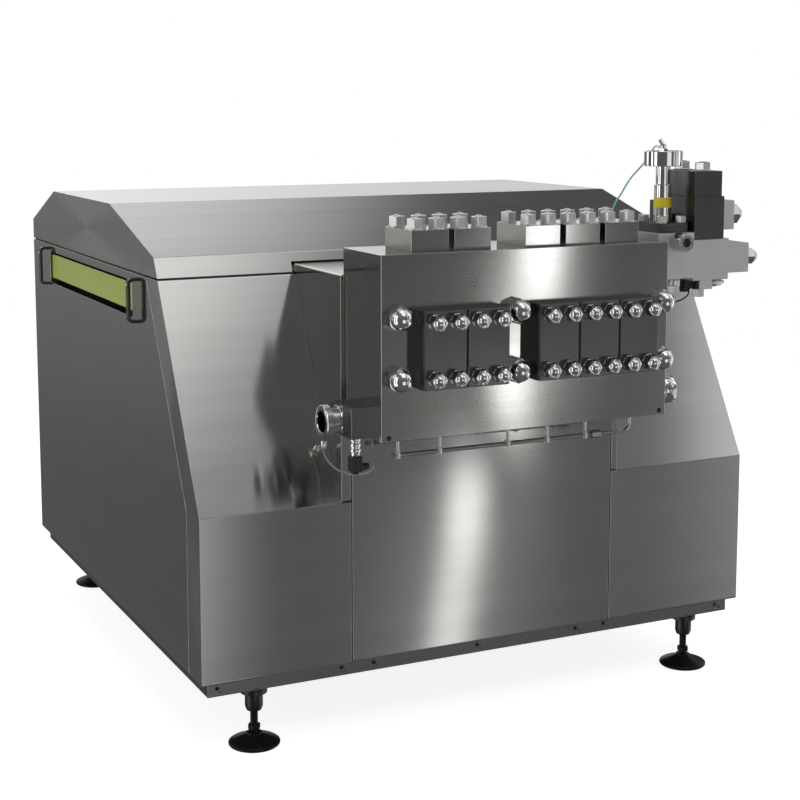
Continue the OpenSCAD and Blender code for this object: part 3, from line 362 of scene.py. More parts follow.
ALONG_SIDE = (0.0, 1.0, 0.0)
UPRIGHT = (0.0, 0.0, 1.0)
SHEET = BrushedSteel("sheet_steel_brushed")
SIDE_SHEET = BrushedSteel("side_steel_brushed", lines_along=ALONG_SIDE, turn_axis="Y")
FRONT_SHEET = BrushedSteel("front_steel_brushed", roughness=0.078, spread=0.012, stretch=0.85)
BLOCK = BrushedSteel("block_steel_ground", roughness=0.1, spread=0.025, stretch=0.85)
COVER = BrushedSteel("cover_steel_ground", roughness=0.11, spread=0.025, stretch=0.8)
FRONT_COVER = BrushedSteel("front_cover_steel_ground", (0.165, 0.163, 0.16), (0.135, 0.133, 0.131),
                           0.17, 0.04, 0.85, UPRIGHT, "Z")
MANIFOLD = BrushedSteel("manifold_steel_ground", (0.36, 0.357, 0.35), (0.30, 0.298, 0.293), 0.13)
FRAME_STEEL = BrushedSteel("frame_steel_satin", (0.26, 0.257, 0.253), (0.20, 0.198, 0.195), 0.26,
                           stretch=0.5)
SLEEVE_STEEL = SkinFinish("sleeve_steel_dark", (0.05, 0.05, 0.05), (0.035, 0.035, 0.035), 0.34, 0.08, 0.8)
HINGE_STEEL = BrushedSteel("hinge_steel_satin", roughness=0.34, stretch=0.3)
RAIL_SATIN = SkinFinish("rail_steel_satin", (0.50, 0.50, 0.49), (0.44, 0.44, 0.43), 0.28, 0.06, 0.9)
NUT_SATIN = SkinFinish("nut_steel_satin", (0.74, 0.74, 0.73), (0.66, 0.66, 0.65), 0.3, 0.06, 0.9)
CHROME = PolishedSteel("nut_steel_polished")
TUBE = PolishedSteel("tube_steel_polished", roughness=0.12)
PLUG_CHROME = PolishedSteel("plug_steel_blued", (0.60, 0.64, 0.72), (0.52, 0.56, 0.64), 0.08)
GAUGE_CHROME = PolishedSteel("gauge_steel_polished", roughness=0.04, spread=0.04)
BLASTED = SkinFinish("valve_steel_blasted", (0.68, 0.68, 0.67), (0.62, 0.62, 0.61), 0.46, 0.06, 0.7)
DARK_SATIN = SkinFinish("valve_steel_dark_satin", (0.12, 0.118, 0.115), (0.095, 0.094, 0.092),
                        0.24, 0.05, 0.9)
FOOT_BLACK = SkinFinish("foot_black_gloss", (0.012, 0.012, 0.012), (0.007, 0.007, 0.007), 0.3, 0.08,
                        mirror=0.12)
GRIP_BLACK = SkinFinish("grip_black_plastic", (0.018, 0.018, 0.018), (0.01, 0.01, 0.01), 0.28, 0.08,
                        coat=0.3)
VENT_GREEN = SkinFinish("vent_green_paint", (0.50, 0.60, 0.14), (0.44, 0.54, 0.12), 0.42, 0.08)
SEAL_RUBBER = SkinFinish("seal_rubber", (0.02, 0.02, 0.02), (0.012, 0.012, 0.012), 0.6)
BELT_RUBBER = SkinFinish("belt_rubber", (0.026, 0.025, 0.024), (0.016, 0.016, 0.015), 0.65)
CASE_PAINT = SkinFinish("crankcase_paint", (0.30, 0.33, 0.35), (0.25, 0.28, 0.30), 0.42, coat=0.2)
MOTOR_PAINT = SkinFinish("motor_paint", (0.10, 0.19, 0.30), (0.08, 0.15, 0.25), 0.4, coat=0.25)
IRON = SkinFinish("pulley_iron", (0.13, 0.13, 0.13), (0.09, 0.09, 0.09), 0.5, 0.12, 0.8)
CERAMIC = SkinFinish("plunger_ceramic", (0.86, 0.84, 0.79), (0.80, 0.78, 0.73), 0.12, 0.06, coat=0.5)
PLUG_BLACK = SkinFinish("connector_black_plastic", (0.02, 0.02, 0.02), (0.012, 0.012, 0.012), 0.4)
LEAD_BLACK = SkinFinish("lead_black_jacket", (0.022, 0.022, 0.022), (0.014, 0.014, 0.014), 0.5)
LEAD_GREY = SkinFinish("lead_grey_jacket", (0.36, 0.36, 0.35), (0.30, 0.30, 0.29), 0.4)
LEAD_TEAL = SkinFinish("lead_teal_jacket", (0.42, 0.92, 0.74), (0.36, 0.84, 0.67), 0.45)
BAND_YELLOW = SkinFinish("band_yellow_film", (0.98, 0.80, 0.02), (0.92, 0.74, 0.02), 0.35, coat=0.3)


def dress(node: str, finish: Finish, edge: float = 0.0) -> bpy.types.Object:
    """Gives a CAD node its finish and rounds its sharp edges.

    Args:
        node: Name of the node.
        finish: Finish of the whole node.
        edge: Width of the rounding, or 0 for none.

    Returns:
        The node's object.
    """
    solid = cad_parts[node]
    for slot in solid.material_slots:
        slot.material = finish.material()
    if edge:
        weld = solid.modifiers.new("weld", "WELD")
        weld.merge_threshold = 0.01 * MM
        flat = solid.modifiers.new("flat faces", "DECIMATE")
        flat.decimate_type = "DISSOLVE"
        flat.angle_limit = math.radians(0.4)
        rounding = solid.modifiers.new("round edges", "BEVEL")
        rounding.width = edge
        rounding.segments = 2
        rounding.limit_method = "ANGLE"
        rounding.angle_limit = math.radians(32)
        rounding.use_clamp_overlap = False
        rounding.harden_normals = True
    log.info("dressed %s", node)
    return solid


def piece(name: str, mesh: bmesh.types.BMesh, finish: Finish, body: str,
          stands_for: Sequence[str] = ()) -> bpy.types.Object:
    """Turns a built mesh into a piece that rides on a body.

    Args:
        name: Name of the piece.
        mesh: Its mesh, in the model's frame, which is used up.
        finish: Its finish.
        body: The body that it moves with.
        stands_for: CAD nodes that it replaces.

    Returns:
        The new object.
    """
    bmesh.ops.recalc_face_normals(mesh, faces=mesh.faces)
    data = bpy.data.meshes.new(name)
    mesh.to_mesh(data)
    mesh.free()
    data.shade_smooth()
    data.set_sharp_from_angle(angle=math.radians(32))
    data.materials.append(finish.material())
    made = bpy.data.objects.new(name, data)
    bpy.context.scene.collection.objects.link(made)
    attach(made, body)
    if stands_for:
        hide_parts(*stands_for)
    log.info("built %s with %d faces", name, len(data.polygons))
    return made


def islands(node: str) -> list[tuple[Vector, Vector]]:
    """Finds the separate solids of a CAD node.

    Args:
        node: Name of the node.

    Returns:
        Lowest and highest corner of each solid.
    """
    mesh = bmesh.new()
    mesh.from_mesh(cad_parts[node].data)
    bmesh.ops.remove_doubles(mesh, verts=mesh.verts, dist=0.01 * MM)
    boxes = []
    left = set(mesh.verts)
    while left:
        found, waiting = set(), [left.pop()]
        while waiting:
            vert = waiting.pop()
            found.add(vert)
            near = {edge.other_vert(vert) for edge in vert.link_edges} & left
            left -= near
            waiting.extend(near)
        places = [vert.co for vert in found]
        low = Vector([min(p[i] for p in places) for i in range(3)])
        high = Vector([max(p[i] for p in places) for i in range(3)])
        boxes.append((low, high))
    mesh.free()
    return sorted(boxes, key=lambda box: tuple(round(c, 4) for c in box[0]))


def at(place: Vector | Point, facing: Facing, spin: float = 0.0) -> Matrix:
    """Places a turned shape.

    Args:
        place: Where its own origin goes.
        facing: Where its own +Z axis points.
        spin: Turn about its own axis, in degrees.

    Returns:
        The matrix from the shape's own frame.
    """
    return Matrix.Translation(place) @ facing.value @ Matrix.Rotation(math.radians(spin), 4, "Z")


def round_ring(radius: float, height: float) -> Ring:
    """Gives a round ring of a turned shape."""
    return lambda angle: (radius, height)


def hex_radius(flats: float, angle: float) -> float:
    """Gives a hexagon's radius at an angle, with a corner at angle 0."""
    sector = TURN / 6
    return flats / 2 / math.cos(angle % sector - sector / 2)


def hex_ring(flats: float, height: float, chamfer: float = 0.0) -> Ring:
    """Gives a hexagonal ring, lower at its corners by a chamfer.

    Args:
        flats: Width across its flats.
        height: Height at the middle of a flat.
        chamfer: Slope of the chamfer, or 0 for none.

    Returns:
        The ring.
    """
    def ring(angle: float) -> tuple[float, float]:
        """Gives radius and height at an angle."""
        radius = hex_radius(flats, angle)
        return radius, height - chamfer * (radius - flats / 2)

    return ring


def turned(mesh: bmesh.types.BMesh, rings: Sequence[Ring], place: Matrix, steps: int = 48,
           hollow: bool = False) -> None:
    """Adds a shape turned about its own Z axis.

    Args:
        mesh: Mesh that the shape goes into.
        rings: Its rings from end to end, each giving radius and height at an angle.
        place: Matrix from the shape's own frame.
        steps: Number of points on a ring.
        hollow: Whether the last ring joins the first round an open bore, instead of two closed ends.
    """
    loops = []
    for ring in rings:
        loop = []
        for step in range(steps):
            angle = TURN * step / steps
            radius, height = ring(angle)
            point = Vector((radius * math.cos(angle), radius * math.sin(angle), height))
            loop.append(mesh.verts.new(place @ point))
        loops.append(loop)
    pairs = list(zip(loops, loops[1:]))
    if hollow:
        pairs.append((loops[-1], loops[0]))
    else:
        mesh.faces.new(reversed(loops[0]))
        mesh.faces.new(loops[-1])
    for lower, upper in pairs:
        for step in range(steps):
            after = (step + 1) % steps
            mesh.faces.new((lower[step], lower[after], upper[after], upper[step]))


def dome_rings(radius: float, base: float, rise: float, steps: int = 9) -> list[Ring]:
    """Gives the rings of a spherical cap.

    Args:
        radius: Radius of its rim.
        base: Height of its rim.
        rise: Height of the cap over its rim.
        steps: Number of rings.

    Returns:
        The rings from the rim to a small flat on top.
    """
    ball = (radius * radius + rise * rise) / (2 * rise)
    reach = math.asin(min(1.0, radius / ball))
    if rise > radius:
        reach = math.pi - reach
    rings = []
    for step in range(steps):
        angle = reach * (1 - step / steps)
        rings.append(round_ring(ball * math.sin(angle), base + rise - ball * (1 - math.cos(angle))))
    return rings


@dataclass(frozen=True)
class CapNut:
    """Domed hexagon nut on a washer."""

    flats: float
    length: float
    hex_share: float
    washer: float
    dome_share: float = 0.48
    spin: float = 0.0

    def add(self, mesh: bmesh.types.BMesh, place: Matrix) -> None:
        """Adds one nut, standing on its own z = 0.

        Args:
            mesh: Mesh that the nut goes into.
            place: Matrix from the nut's own frame.
        """
        plate = self.flats / 12
        top = self.length * self.hex_share
        lip = 0.6 * MM
        rim = self.flats * self.washer / 2
        turned(mesh, [round_ring(rim, 0), round_ring(rim, plate - lip), round_ring(rim - lip, plate),
                      round_ring(rim * 0.6, plate)], place)
        base = plate * 0.9
        slope = math.tan(math.radians(30))
        throat = self.flats * self.dome_share
        rings = [hex_ring(self.flats * 0.97, base), hex_ring(self.flats, base + lip),
                 hex_ring(self.flats, top, slope), round_ring(self.flats * 0.49, top)]
        rings += dome_rings(throat, top, self.length - top)
        turned(mesh, rings, place)


@dataclass(frozen=True)
class SocketScrew:
    """Round-headed screw with a hexagon socket."""

    head: float
    height: float

    def add(self, mesh: bmesh.types.BMesh, place: Matrix) -> None:
        """Adds one screw head, standing on its own z = 0.

        Args:
            mesh: Mesh that the head goes into.
            place: Matrix from the head's own frame.
        """
        radius = self.head / 2
        key = self.head * 0.45
        rings = [round_ring(radius, 0), round_ring(radius, self.height * 0.45),
                 round_ring(radius * 0.9, self.height * 0.8), round_ring(radius * 0.72, self.height),
                 hex_ring(key, self.height), hex_ring(key, self.height * 0.4)]
        turned(mesh, rings, place, 36)


def direction(bearing: float, elevation: float) -> Vector:
    """Gives a direction from the machine.

    Args:
        bearing: Degrees from straight ahead of the front, towards the right.
        elevation: Degrees over the horizon.

    Returns:
        The unit vector.
    """
    turn, rise = math.radians(bearing), math.radians(elevation)
    return Vector((math.sin(turn) * math.cos(rise), -math.cos(turn) * math.cos(rise), math.sin(rise)))


@dataclass(frozen=True)
class Glow:
    """Round soft light in the surroundings: full inside one angle and gone outside another.

    Angles are in degrees. A level under 0 takes light away, as a black flag does.
    """

    bearing: float
    elevation: float
    inner: float
    outer: float
    level: float

    def add(self, bench: NodeBench, facing: bpy.types.NodeSocket) -> bpy.types.NodeSocket:
        """Adds the light to the surroundings' shader.

        Args:
            bench: Bench of the surroundings' nodes.
            facing: The direction that is looked in.

        Returns:
            The light's share of the brightness.
        """
        middle = direction(self.bearing, self.elevation)
        near = bench.add("VectorMath", {0: facing, 1: middle}, operation="DOT_PRODUCT").outputs["Value"]
        limits = {"From Min": math.cos(math.radians(self.outer)),
                  "From Max": math.cos(math.radians(self.inner))}
        share = bench.add("MapRange", {"Value": near, **limits, "To Max": self.level},
                          interpolation_type="SMOOTHSTEP")
        return share.outputs["Result"]


@dataclass(frozen=True)
class Strip:
    """Long narrow light in the surroundings, on the arc through two directions.

    Angles are in degrees. It is full up to the inner angle from the arc and gone at the outer one, and
    along the arc it reaches so far from its middle, fading from the full share of that reach.
    """

    start: tuple[float, float]
    end: tuple[float, float]
    inner: float
    outer: float
    reach: float
    level: float
    full_share: float = 0.7

    def add(self, bench: NodeBench, facing: bpy.types.NodeSocket) -> bpy.types.NodeSocket:
        """Adds the light to the surroundings' shader.

        Args:
            bench: Bench of the surroundings' nodes.
            facing: The direction that is looked in.

        Returns:
            The light's share of the brightness.
        """
        start, end = direction(*self.start), direction(*self.end)
        across, middle = start.cross(end).normalized(), (start + end).normalized()
        off = bench.add("VectorMath", {0: facing, 1: across}, operation="DOT_PRODUCT").outputs["Value"]
        off = bench.add("Math", {0: off}, operation="ABSOLUTE").outputs[0]
        limits = {"From Min": math.sin(math.radians(self.outer)),
                  "From Max": math.sin(math.radians(self.inner))}
        share = bench.add("MapRange", {"Value": off, **limits, "To Max": self.level},
                          interpolation_type="SMOOTHSTEP").outputs["Result"]
        near = bench.add("VectorMath", {0: facing, 1: middle}, operation="DOT_PRODUCT").outputs["Value"]
        ends = bench.add("MapRange", {"Value": near, "From Min": math.cos(math.radians(self.reach)),
                                      "From Max": math.cos(math.radians(self.reach * self.full_share))},
                         interpolation_type="SMOOTHSTEP").outputs["Result"]
        return bench.add("Math", {0: share, 1: ends}, operation="MULTIPLY").outputs[0]


@dataclass
class Studio:
    """Camera, pale floor and soft light."""

    camera_place: Point = (-2.49127, -5.28684, 2.00840)
    camera_tilt: float = 82.683
    camera_turn: float = -25.899
    lens: float = 71.88
    frame_shift: float = -0.1236
    floor_radius: float = 14.0
    fade_start: float = 2.5
    fade_end: float = 7.0
    floor_glow: float = 0.86
    room_low: Colour = (0.112, 0.110, 0.107)
    room_high: Colour = (0.18, 0.178, 0.175)
    lights: tuple[Glow | Strip, ...] = (
        Glow(10, 60, 15, 21, 1.15),
        Glow(0, 90, 8, 20, 1.4),
        Glow(100, 52, 12, 34, 0.7),
        Glow(25, 44, 6, 20, 0.12),
        Glow(172, 26, 12, 22, 0.9),
        Glow(134, 31, 8, 16, -0.09),
        Glow(160, 10, 13, 19, 0.72),
        Glow(200, 5, 5, 20, 0.12),
        Glow(222, 30, 10, 25, 0.6),
        Glow(1, -14, 14, 20, 0.9),
        Glow(60, -12, 14, 26.5, 0.55),
        Glow(27.5, -16, 4, 10, 0.04),
        Glow(218, -3.5, 5, 9, 1.9),
        Strip((31.3, -2.0), (30.8, -6.5), 0.3, 1.05, 3.6, 3.8),
        Strip((30.15, -9.0), (29.8, -11.0), 0.25, 1.0, 1.5, 4.4),
        Strip((28.6, -12.8), (27.05, -24.0), 0.25, 1.0, 5.4, 1.2, 0.83),
        Strip((28.6, -12.8), (27.05, -24.0), 0.5, 4.5, 5.4, 0.12, 0.83),
        Strip((28.7, -13.4), (28.2, -15.4), 0.25, 1.0, 1.8, 0.7),
        Strip((42.8, 20.9), (59.4, 40.5), 4.0, 7.1, 20, 0.7),
        Strip((-81, -25), (-81, 25), 7, 8, 45, 2.0),
        Strip((-105, -25), (-105, 25), 4, 5, 45, 2.8),
        Strip((78, -25), (78, 25), 6, 7, 45, 1.6),
        Strip((112, -25), (112, 25), 3, 4, 45, 1.5))

    def build(self) -> None:
        """Makes the camera, the surroundings and the floor."""
        self.add_camera()
        self.add_surroundings()
        self.add_floor()

    def add_camera(self) -> None:
        """Makes the camera at the photograph's viewing angle."""
        data = bpy.data.cameras.new("camera")
        data.lens = self.lens
        data.shift_y = self.frame_shift
        camera = bpy.data.objects.new("camera", data)
        camera.location = self.camera_place
        camera.rotation_euler = (math.radians(self.camera_tilt), 0, math.radians(self.camera_turn))
        bpy.context.scene.collection.objects.link(camera)
        bpy.context.scene.camera = camera
        bpy.context.scene.view_settings.view_transform = "Standard"

    def add_surroundings(self) -> None:
        """Makes the grey room that the metal mirrors, in front of a white backdrop."""
        world = bpy.data.worlds.new("studio")
        world.use_nodes = True
        bpy.context.scene.world = world
        bench = NodeBench(world.node_tree)
        nodes, links = world.node_tree.nodes, world.node_tree.links
        facing = bench.add("TexCoord").outputs["Generated"]
        height = bench.add("SeparateXYZ", {0: facing}).outputs["Z"]
        rise = bench.add("MapRange", {"Value": height, "From Min": -0.1, "From Max": 0.9},
                         interpolation_type="SMOOTHSTEP").outputs["Result"]
        colour = bench.blend(rise, self.room_low, self.room_high)
        for light in self.lights:
            share = light.add(bench, facing)
            colour = bench.add("VectorMath", {0: colour, 1: share}, operation="ADD").outputs["Vector"]
        room = bench.add("Background", {"Color": colour})
        white = bench.add("Background", {"Color": (1, 1, 1, 1), "Strength": 1.0})
        seen = bench.add("LightPath").outputs["Is Camera Ray"]
        mixed = bench.add("MixShader", {0: seen, 1: room.outputs[0], 2: white.outputs[0]})
        links.new(mixed.outputs[0], nodes["World Output"].inputs["Surface"])

    def add_floor(self) -> None:
        """Makes a pale floor that fades into the backdrop."""
        mesh = bmesh.new()
        bmesh.ops.create_circle(mesh, cap_ends=True, segments=96, radius=self.floor_radius)
        data = bpy.data.meshes.new("floor")
        mesh.to_mesh(data)
        mesh.free()
        floor = bpy.data.objects.new("floor", data)
        bpy.context.scene.collection.objects.link(floor)
        made, bench, shader = shader_of("floor_pale")
        links = made.node_tree.links
        place = bench.add("TexCoord").outputs["Object"]
        reach = bench.add("VectorMath", {0: place}, operation="LENGTH").outputs["Value"]
        fade = bench.add("MapRange", {"Value": reach, "From Min": self.fade_start, "From Max": self.fade_end,
                                      "To Min": 1.0, "To Max": 0.0}, interpolation_type="SMOOTHSTEP")
        links.new(fade.outputs["Result"], shader.inputs["Alpha"])
        shader.inputs["Base Color"].default_value = (0.5, 0.5, 0.5, 1)
        shader.inputs["Roughness"].default_value = 0.9
        shader.inputs["Emission Color"].default_value = (1, 1, 1, 1)
        shader.inputs["Emission Strength"].default_value = self.floor_glow
        data.materials.append(made)
        floor.visible_glossy = False
        floor.visible_diffuse = False
        floor.visible_shadow = False


@dataclass(frozen=True)
class Lead:
    """A cable between two fittings of the machine."""

    node: str
    finish: Finish
    slot: str
    diameter: float
    length: float
    route: tuple[Point, ...]
    origin: Point = (0.0, -0.8435, 0.230)

    def build(self) -> bpy.types.Object:
        """Makes the cable on its route.

        Returns:
            The cable's curve.
        """
        places = [Vector(point) + Vector(self.origin) for point in self.route]
        data = bpy.data.curves.new(self.node + "_cable", "CURVE")
        data.dimensions = "3D"
        data.resolution_u = 6
        data.bevel_depth = self.diameter / 2
        data.bevel_resolution = 4
        data.use_fill_caps = True
        spline = data.splines.new("BEZIER")
        spline.bezier_points.add(len(places) - 1)
        for knot, place in zip(spline.bezier_points, places):
            knot.co = place
            knot.handle_left_type = knot.handle_right_type = "AUTO"
        data.materials.append(self.finish.material())
        cable = bpy.data.objects.new(self.node + "_cable", data)
        bpy.context.scene.collection.objects.link(cable)
        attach(cable, CABINET)
        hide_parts(self.node)
        log.info("laid %s", cable.name)
        return cable


SUCTION_LEAD = Lead("suction_lead", LEAD_GREY, "lead_grey", 0.006, 0.293, (
    (-0.530, -0.187, 0.679), (-0.520, -0.187, 0.678), (-0.511, -0.183, 0.673), (-0.507, -0.173, 0.664),
    (-0.511, -0.159, 0.654), (-0.520, -0.142, 0.645), (-0.531, -0.122, 0.639), (-0.541, -0.100, 0.635),
    (-0.550, -0.077, 0.634), (-0.557, -0.054, 0.635), (-0.563, -0.031, 0.638), (-0.568, -0.009, 0.644),
    (-0.572, 0.011, 0.652), (-0.575, 0.027, 0.662), (-0.577, 0.038, 0.675), (-0.578, 0.042, 0.690)))
PRESSURE_LEAD = Lead("pressure_lead", LEAD_TEAL, "lead_teal", 0.006, 0.434, (
    (0.556, -0.098, 1.615), (0.557, -0.086, 1.616), (0.560, -0.072, 1.613), (0.562, -0.060, 1.604),
    (0.562, -0.048, 1.592), (0.560, -0.038, 1.580), (0.553, -0.022, 1.557), (0.541, -0.008, 1.536),
    (0.528, 0.008, 1.513), (0.516, 0.022, 1.486), (0.502, 0.034, 1.453), (0.490, 0.043, 1.428),
    (0.478, 0.049, 1.393), (0.466, 0.051, 1.350), (0.456, 0.050, 1.310), (0.449, 0.050, 1.284),
    (0.448, 0.050, 1.262)))
VALVE_LEAD = Lead("valve_lead", LEAD_BLACK, "lead_black", 0.005, 0.268, (
    (0.655, -0.147, 1.145), (0.655, -0.146, 1.131), (0.645, -0.140, 1.117), (0.630, -0.124, 1.105),
    (0.612, -0.104, 1.097), (0.590, -0.080, 1.093), (0.570, -0.054, 1.092), (0.550, -0.029, 1.093),
    (0.533, -0.007, 1.096), (0.520, 0.015, 1.099), (0.511, 0.030, 1.101), (0.506, 0.036, 1.102),
    (0.500, 0.037, 1.102)))


FEET = ("foot_front_left", "foot_front_right", "foot_rear_left", "foot_rear_right")


class Assembly:
    """A sub-assembly of the machine."""

    def dress(self) -> None:
        """Gives the sub-assembly's own solids their finishes."""

    def build(self) -> None:
        """Adds the pieces that the solids don't have, where there are any."""


@dataclass
class Cabinet(Assembly):
    """Stainless panels, base frame, feet, side vents and hood."""

    sheet_edge: float = 1.2 * MM
    frame_edge: float = 2.5 * MM
    foot_edge: float = 1.5 * MM
    grip_edge: float = 3 * MM
    hinge_edge: float = 0.8 * MM
    screw: SocketScrew = SocketScrew(13 * MM, 4 * MM)
    screw_places: tuple[float, ...] = (-0.940, -0.523, -0.410, -0.032, 0.350, 0.463, 0.935)
    screw_drop: float = 24 * MM
    grip_screw: SocketScrew = SocketScrew(11 * MM, 4 * MM)
    grip_screw_drop: float = 24 * MM
    rail_height: float = 47 * MM
    sleeve_profile: tuple[tuple[float, float], ...] = (
        (23 * MM, -71 * MM), (28.2 * MM, -58 * MM), (28.2 * MM, -17 * MM), (42 * MM, -14 * MM),
        (42 * MM, 0.0))
    strip_width: float = 24 * MM
    strip_depth: float = 2 * MM
    strip_set: float = 5 * MM
    strip_edge: float = 0.5 * MM

    def dress(self) -> None:
        """Gives the cabinet's own solids their finishes."""
        for node in ("left_wing_panel", "right_wing_panel", "tower_shell", "rear_panel", "hood"):
            dress(node, SHEET, self.sheet_edge)
        for node in ("left_side_panel", "right_side_panel"):
            dress(node, SIDE_SHEET, self.sheet_edge)
        dress("front_panel", FRONT_SHEET, self.sheet_edge)
        dress("base_frame", FRAME_STEEL, self.frame_edge)
        for node in FEET:
            dress(node, FOOT_BLACK, self.foot_edge)
        dress("panel_grips", GRIP_BLACK, self.grip_edge)
        dress("left_vent_plate", VENT_GREEN)
        dress("right_vent_plate", VENT_GREEN)
        dress("hood_seal", SEAL_RUBBER)
        dress("hinge_bases", HINGE_STEEL, self.hinge_edge)
        dress("hinge_leaves", HINGE_STEEL, self.hinge_edge)

    def build(self) -> None:
        """Adds the cabinet's screws, foot sleeves and the dark strips of painted shade behind the joints."""
        frame_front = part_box("base_frame")[0].y
        panel_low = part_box("front_panel")[0].z
        mesh = bmesh.new()
        for x in self.screw_places:
            self.screw.add(mesh, at((x, frame_front, panel_low - self.screw_drop), Facing.FRONT))
        piece("rail_screws", mesh, FRAME_STEEL, CABINET)
        mesh = bmesh.new()
        for box_low, box_high in islands("panel_grips"):
            left = box_low.x < 0
            x = box_low.x if left else box_high.x
            y = (box_low.y + box_high.y) / 2
            place = (x, y, box_high.z - self.grip_screw_drop)
            self.grip_screw.add(mesh, at(place, Facing.LEFT if left else Facing.RIGHT))
        piece("grip_screws", mesh, CHROME, CABINET)
        self.add_sleeves()
        self.add_joint_strips()

    def add_sleeves(self) -> None:
        """Puts dark turned sleeves round the feet, under the frame."""
        rail_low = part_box("front_panel")[0].z - self.rail_height
        rings = [round_ring(radius, height) for radius, height in self.sleeve_profile]
        mesh = bmesh.new()
        for node in FEET:
            low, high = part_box(node)
            middle = (low + high) / 2
            turned(mesh, rings, at((middle.x, middle.y, rail_low), Facing.UP))
        piece("foot_sleeves", mesh, SLEEVE_STEEL, CABINET)

    def add_joint_strips(self) -> None:
        """Backs the open joints beside the front panel with dark rubber strips, which paint the shade inside
        the joints.
        """
        low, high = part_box("front_panel")
        wings = (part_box("left_wing_panel")[1].x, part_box("right_wing_panel")[0].x)
        # Dark strips just behind the joints: painted shade in the gaps, where the machine has only shade.
        mesh = bmesh.new()
        for middle in ((low.x + wings[0]) / 2, (high.x + wings[1]) / 2):
            size = Vector((self.strip_width, self.strip_depth, high.z - low.z))
            place = Vector((middle, low.y + self.strip_set, (low.z + high.z) / 2))
            bmesh.ops.create_cube(mesh, size=1.0, matrix=Matrix.LocRotScale(place, None, size))
        bmesh.ops.bevel(mesh, geom=mesh.edges[:], offset=self.strip_edge, segments=2, affect="EDGES")
        piece("joint_shade_strips", mesh, SEAL_RUBBER, CABINET)


@dataclass
class CylinderBlock(Assembly):
    """Ground block with its bolted covers and polished nuts."""

    edge: float = 1.5 * MM
    cover_edge: float = 0.5 * MM
    front_nut: CapNut = CapNut(43 * MM, 45 * MM, 0.76, 1.1, 0.36)
    top_nut: CapNut = CapNut(46 * MM, 38 * MM, 0.86, 1.12, 0.3)
    dome_nut: CapNut = CapNut(70 * MM, 68 * MM, 0.45, 0.98, spin=30.0)
    corner_plug: SocketScrew = SocketScrew(16 * MM, 1.5 * MM)
    pin: SocketScrew = SocketScrew(6 * MM, 0.6 * MM)
    pin_drops: tuple[float, float] = (60 * MM, 70 * MM)
    pin_set: float = 113.5 * MM
    plug_sets: tuple[float, float] = (25 * MM, -22 * MM)
    plug_rises: tuple[float, float] = (12 * MM, 14 * MM)
    plunger_edge: float = 0.8 * MM

    def dress(self) -> None:
        """Gives the block's own solids their finishes."""
        dress("cylinder_block", BLOCK, self.edge)
        for side in ("left", "right"):
            dress(f"front_covers_{side}", FRONT_COVER, self.cover_edge)
            dress(f"top_covers_{side}", COVER, self.edge)
        for number in range(1, 6):
            dress(f"plunger_{number}", CERAMIC, self.plunger_edge)

    def add_nuts(self, node: str, nut: CapNut, facing: Facing, finish: Finish = CHROME,
                 slot: str = "nut_chrome") -> None:
        """Puts finished nuts in the places of a node's solids.

        Args:
            node: The CAD node of the plain nuts.
            nut: The finished nut.
            facing: Where the nuts point.
            finish: Finish of the nuts.
            slot: The record's material slot that they belong to; it is not used.
        """
        mesh = bmesh.new()
        for low, high in islands(node):
            seat = (low + high) / 2
            if facing is Facing.FRONT:
                seat.y = high.y
            else:
                seat.z = low.z
            nut.add(mesh, at(seat, facing, nut.spin))
        piece("finished_" + node, mesh, finish, CABINET, [node])

    def build(self) -> None:
        """Adds the nuts and the small plugs."""
        self.add_nuts("front_cover_nuts", self.front_nut, Facing.FRONT)
        self.add_nuts("top_cover_nuts", self.top_nut, Facing.UP, NUT_SATIN, "nut_steel")
        self.add_nuts("block_dome_nuts", self.dome_nut, Facing.FRONT)
        low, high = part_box("cylinder_block")
        mesh = bmesh.new()
        for side, plug_set, rise in zip((low.x, high.x), self.plug_sets, self.plug_rises):
            self.corner_plug.add(mesh, at((side + plug_set, low.y, low.z + rise), Facing.FRONT))
        for drop in self.pin_drops:
            self.pin.add(mesh, at((low.x, low.y + self.pin_set, high.z - drop), Facing.LEFT))
        piece("corner_plugs", mesh, SLEEVE_STEEL, CABINET)


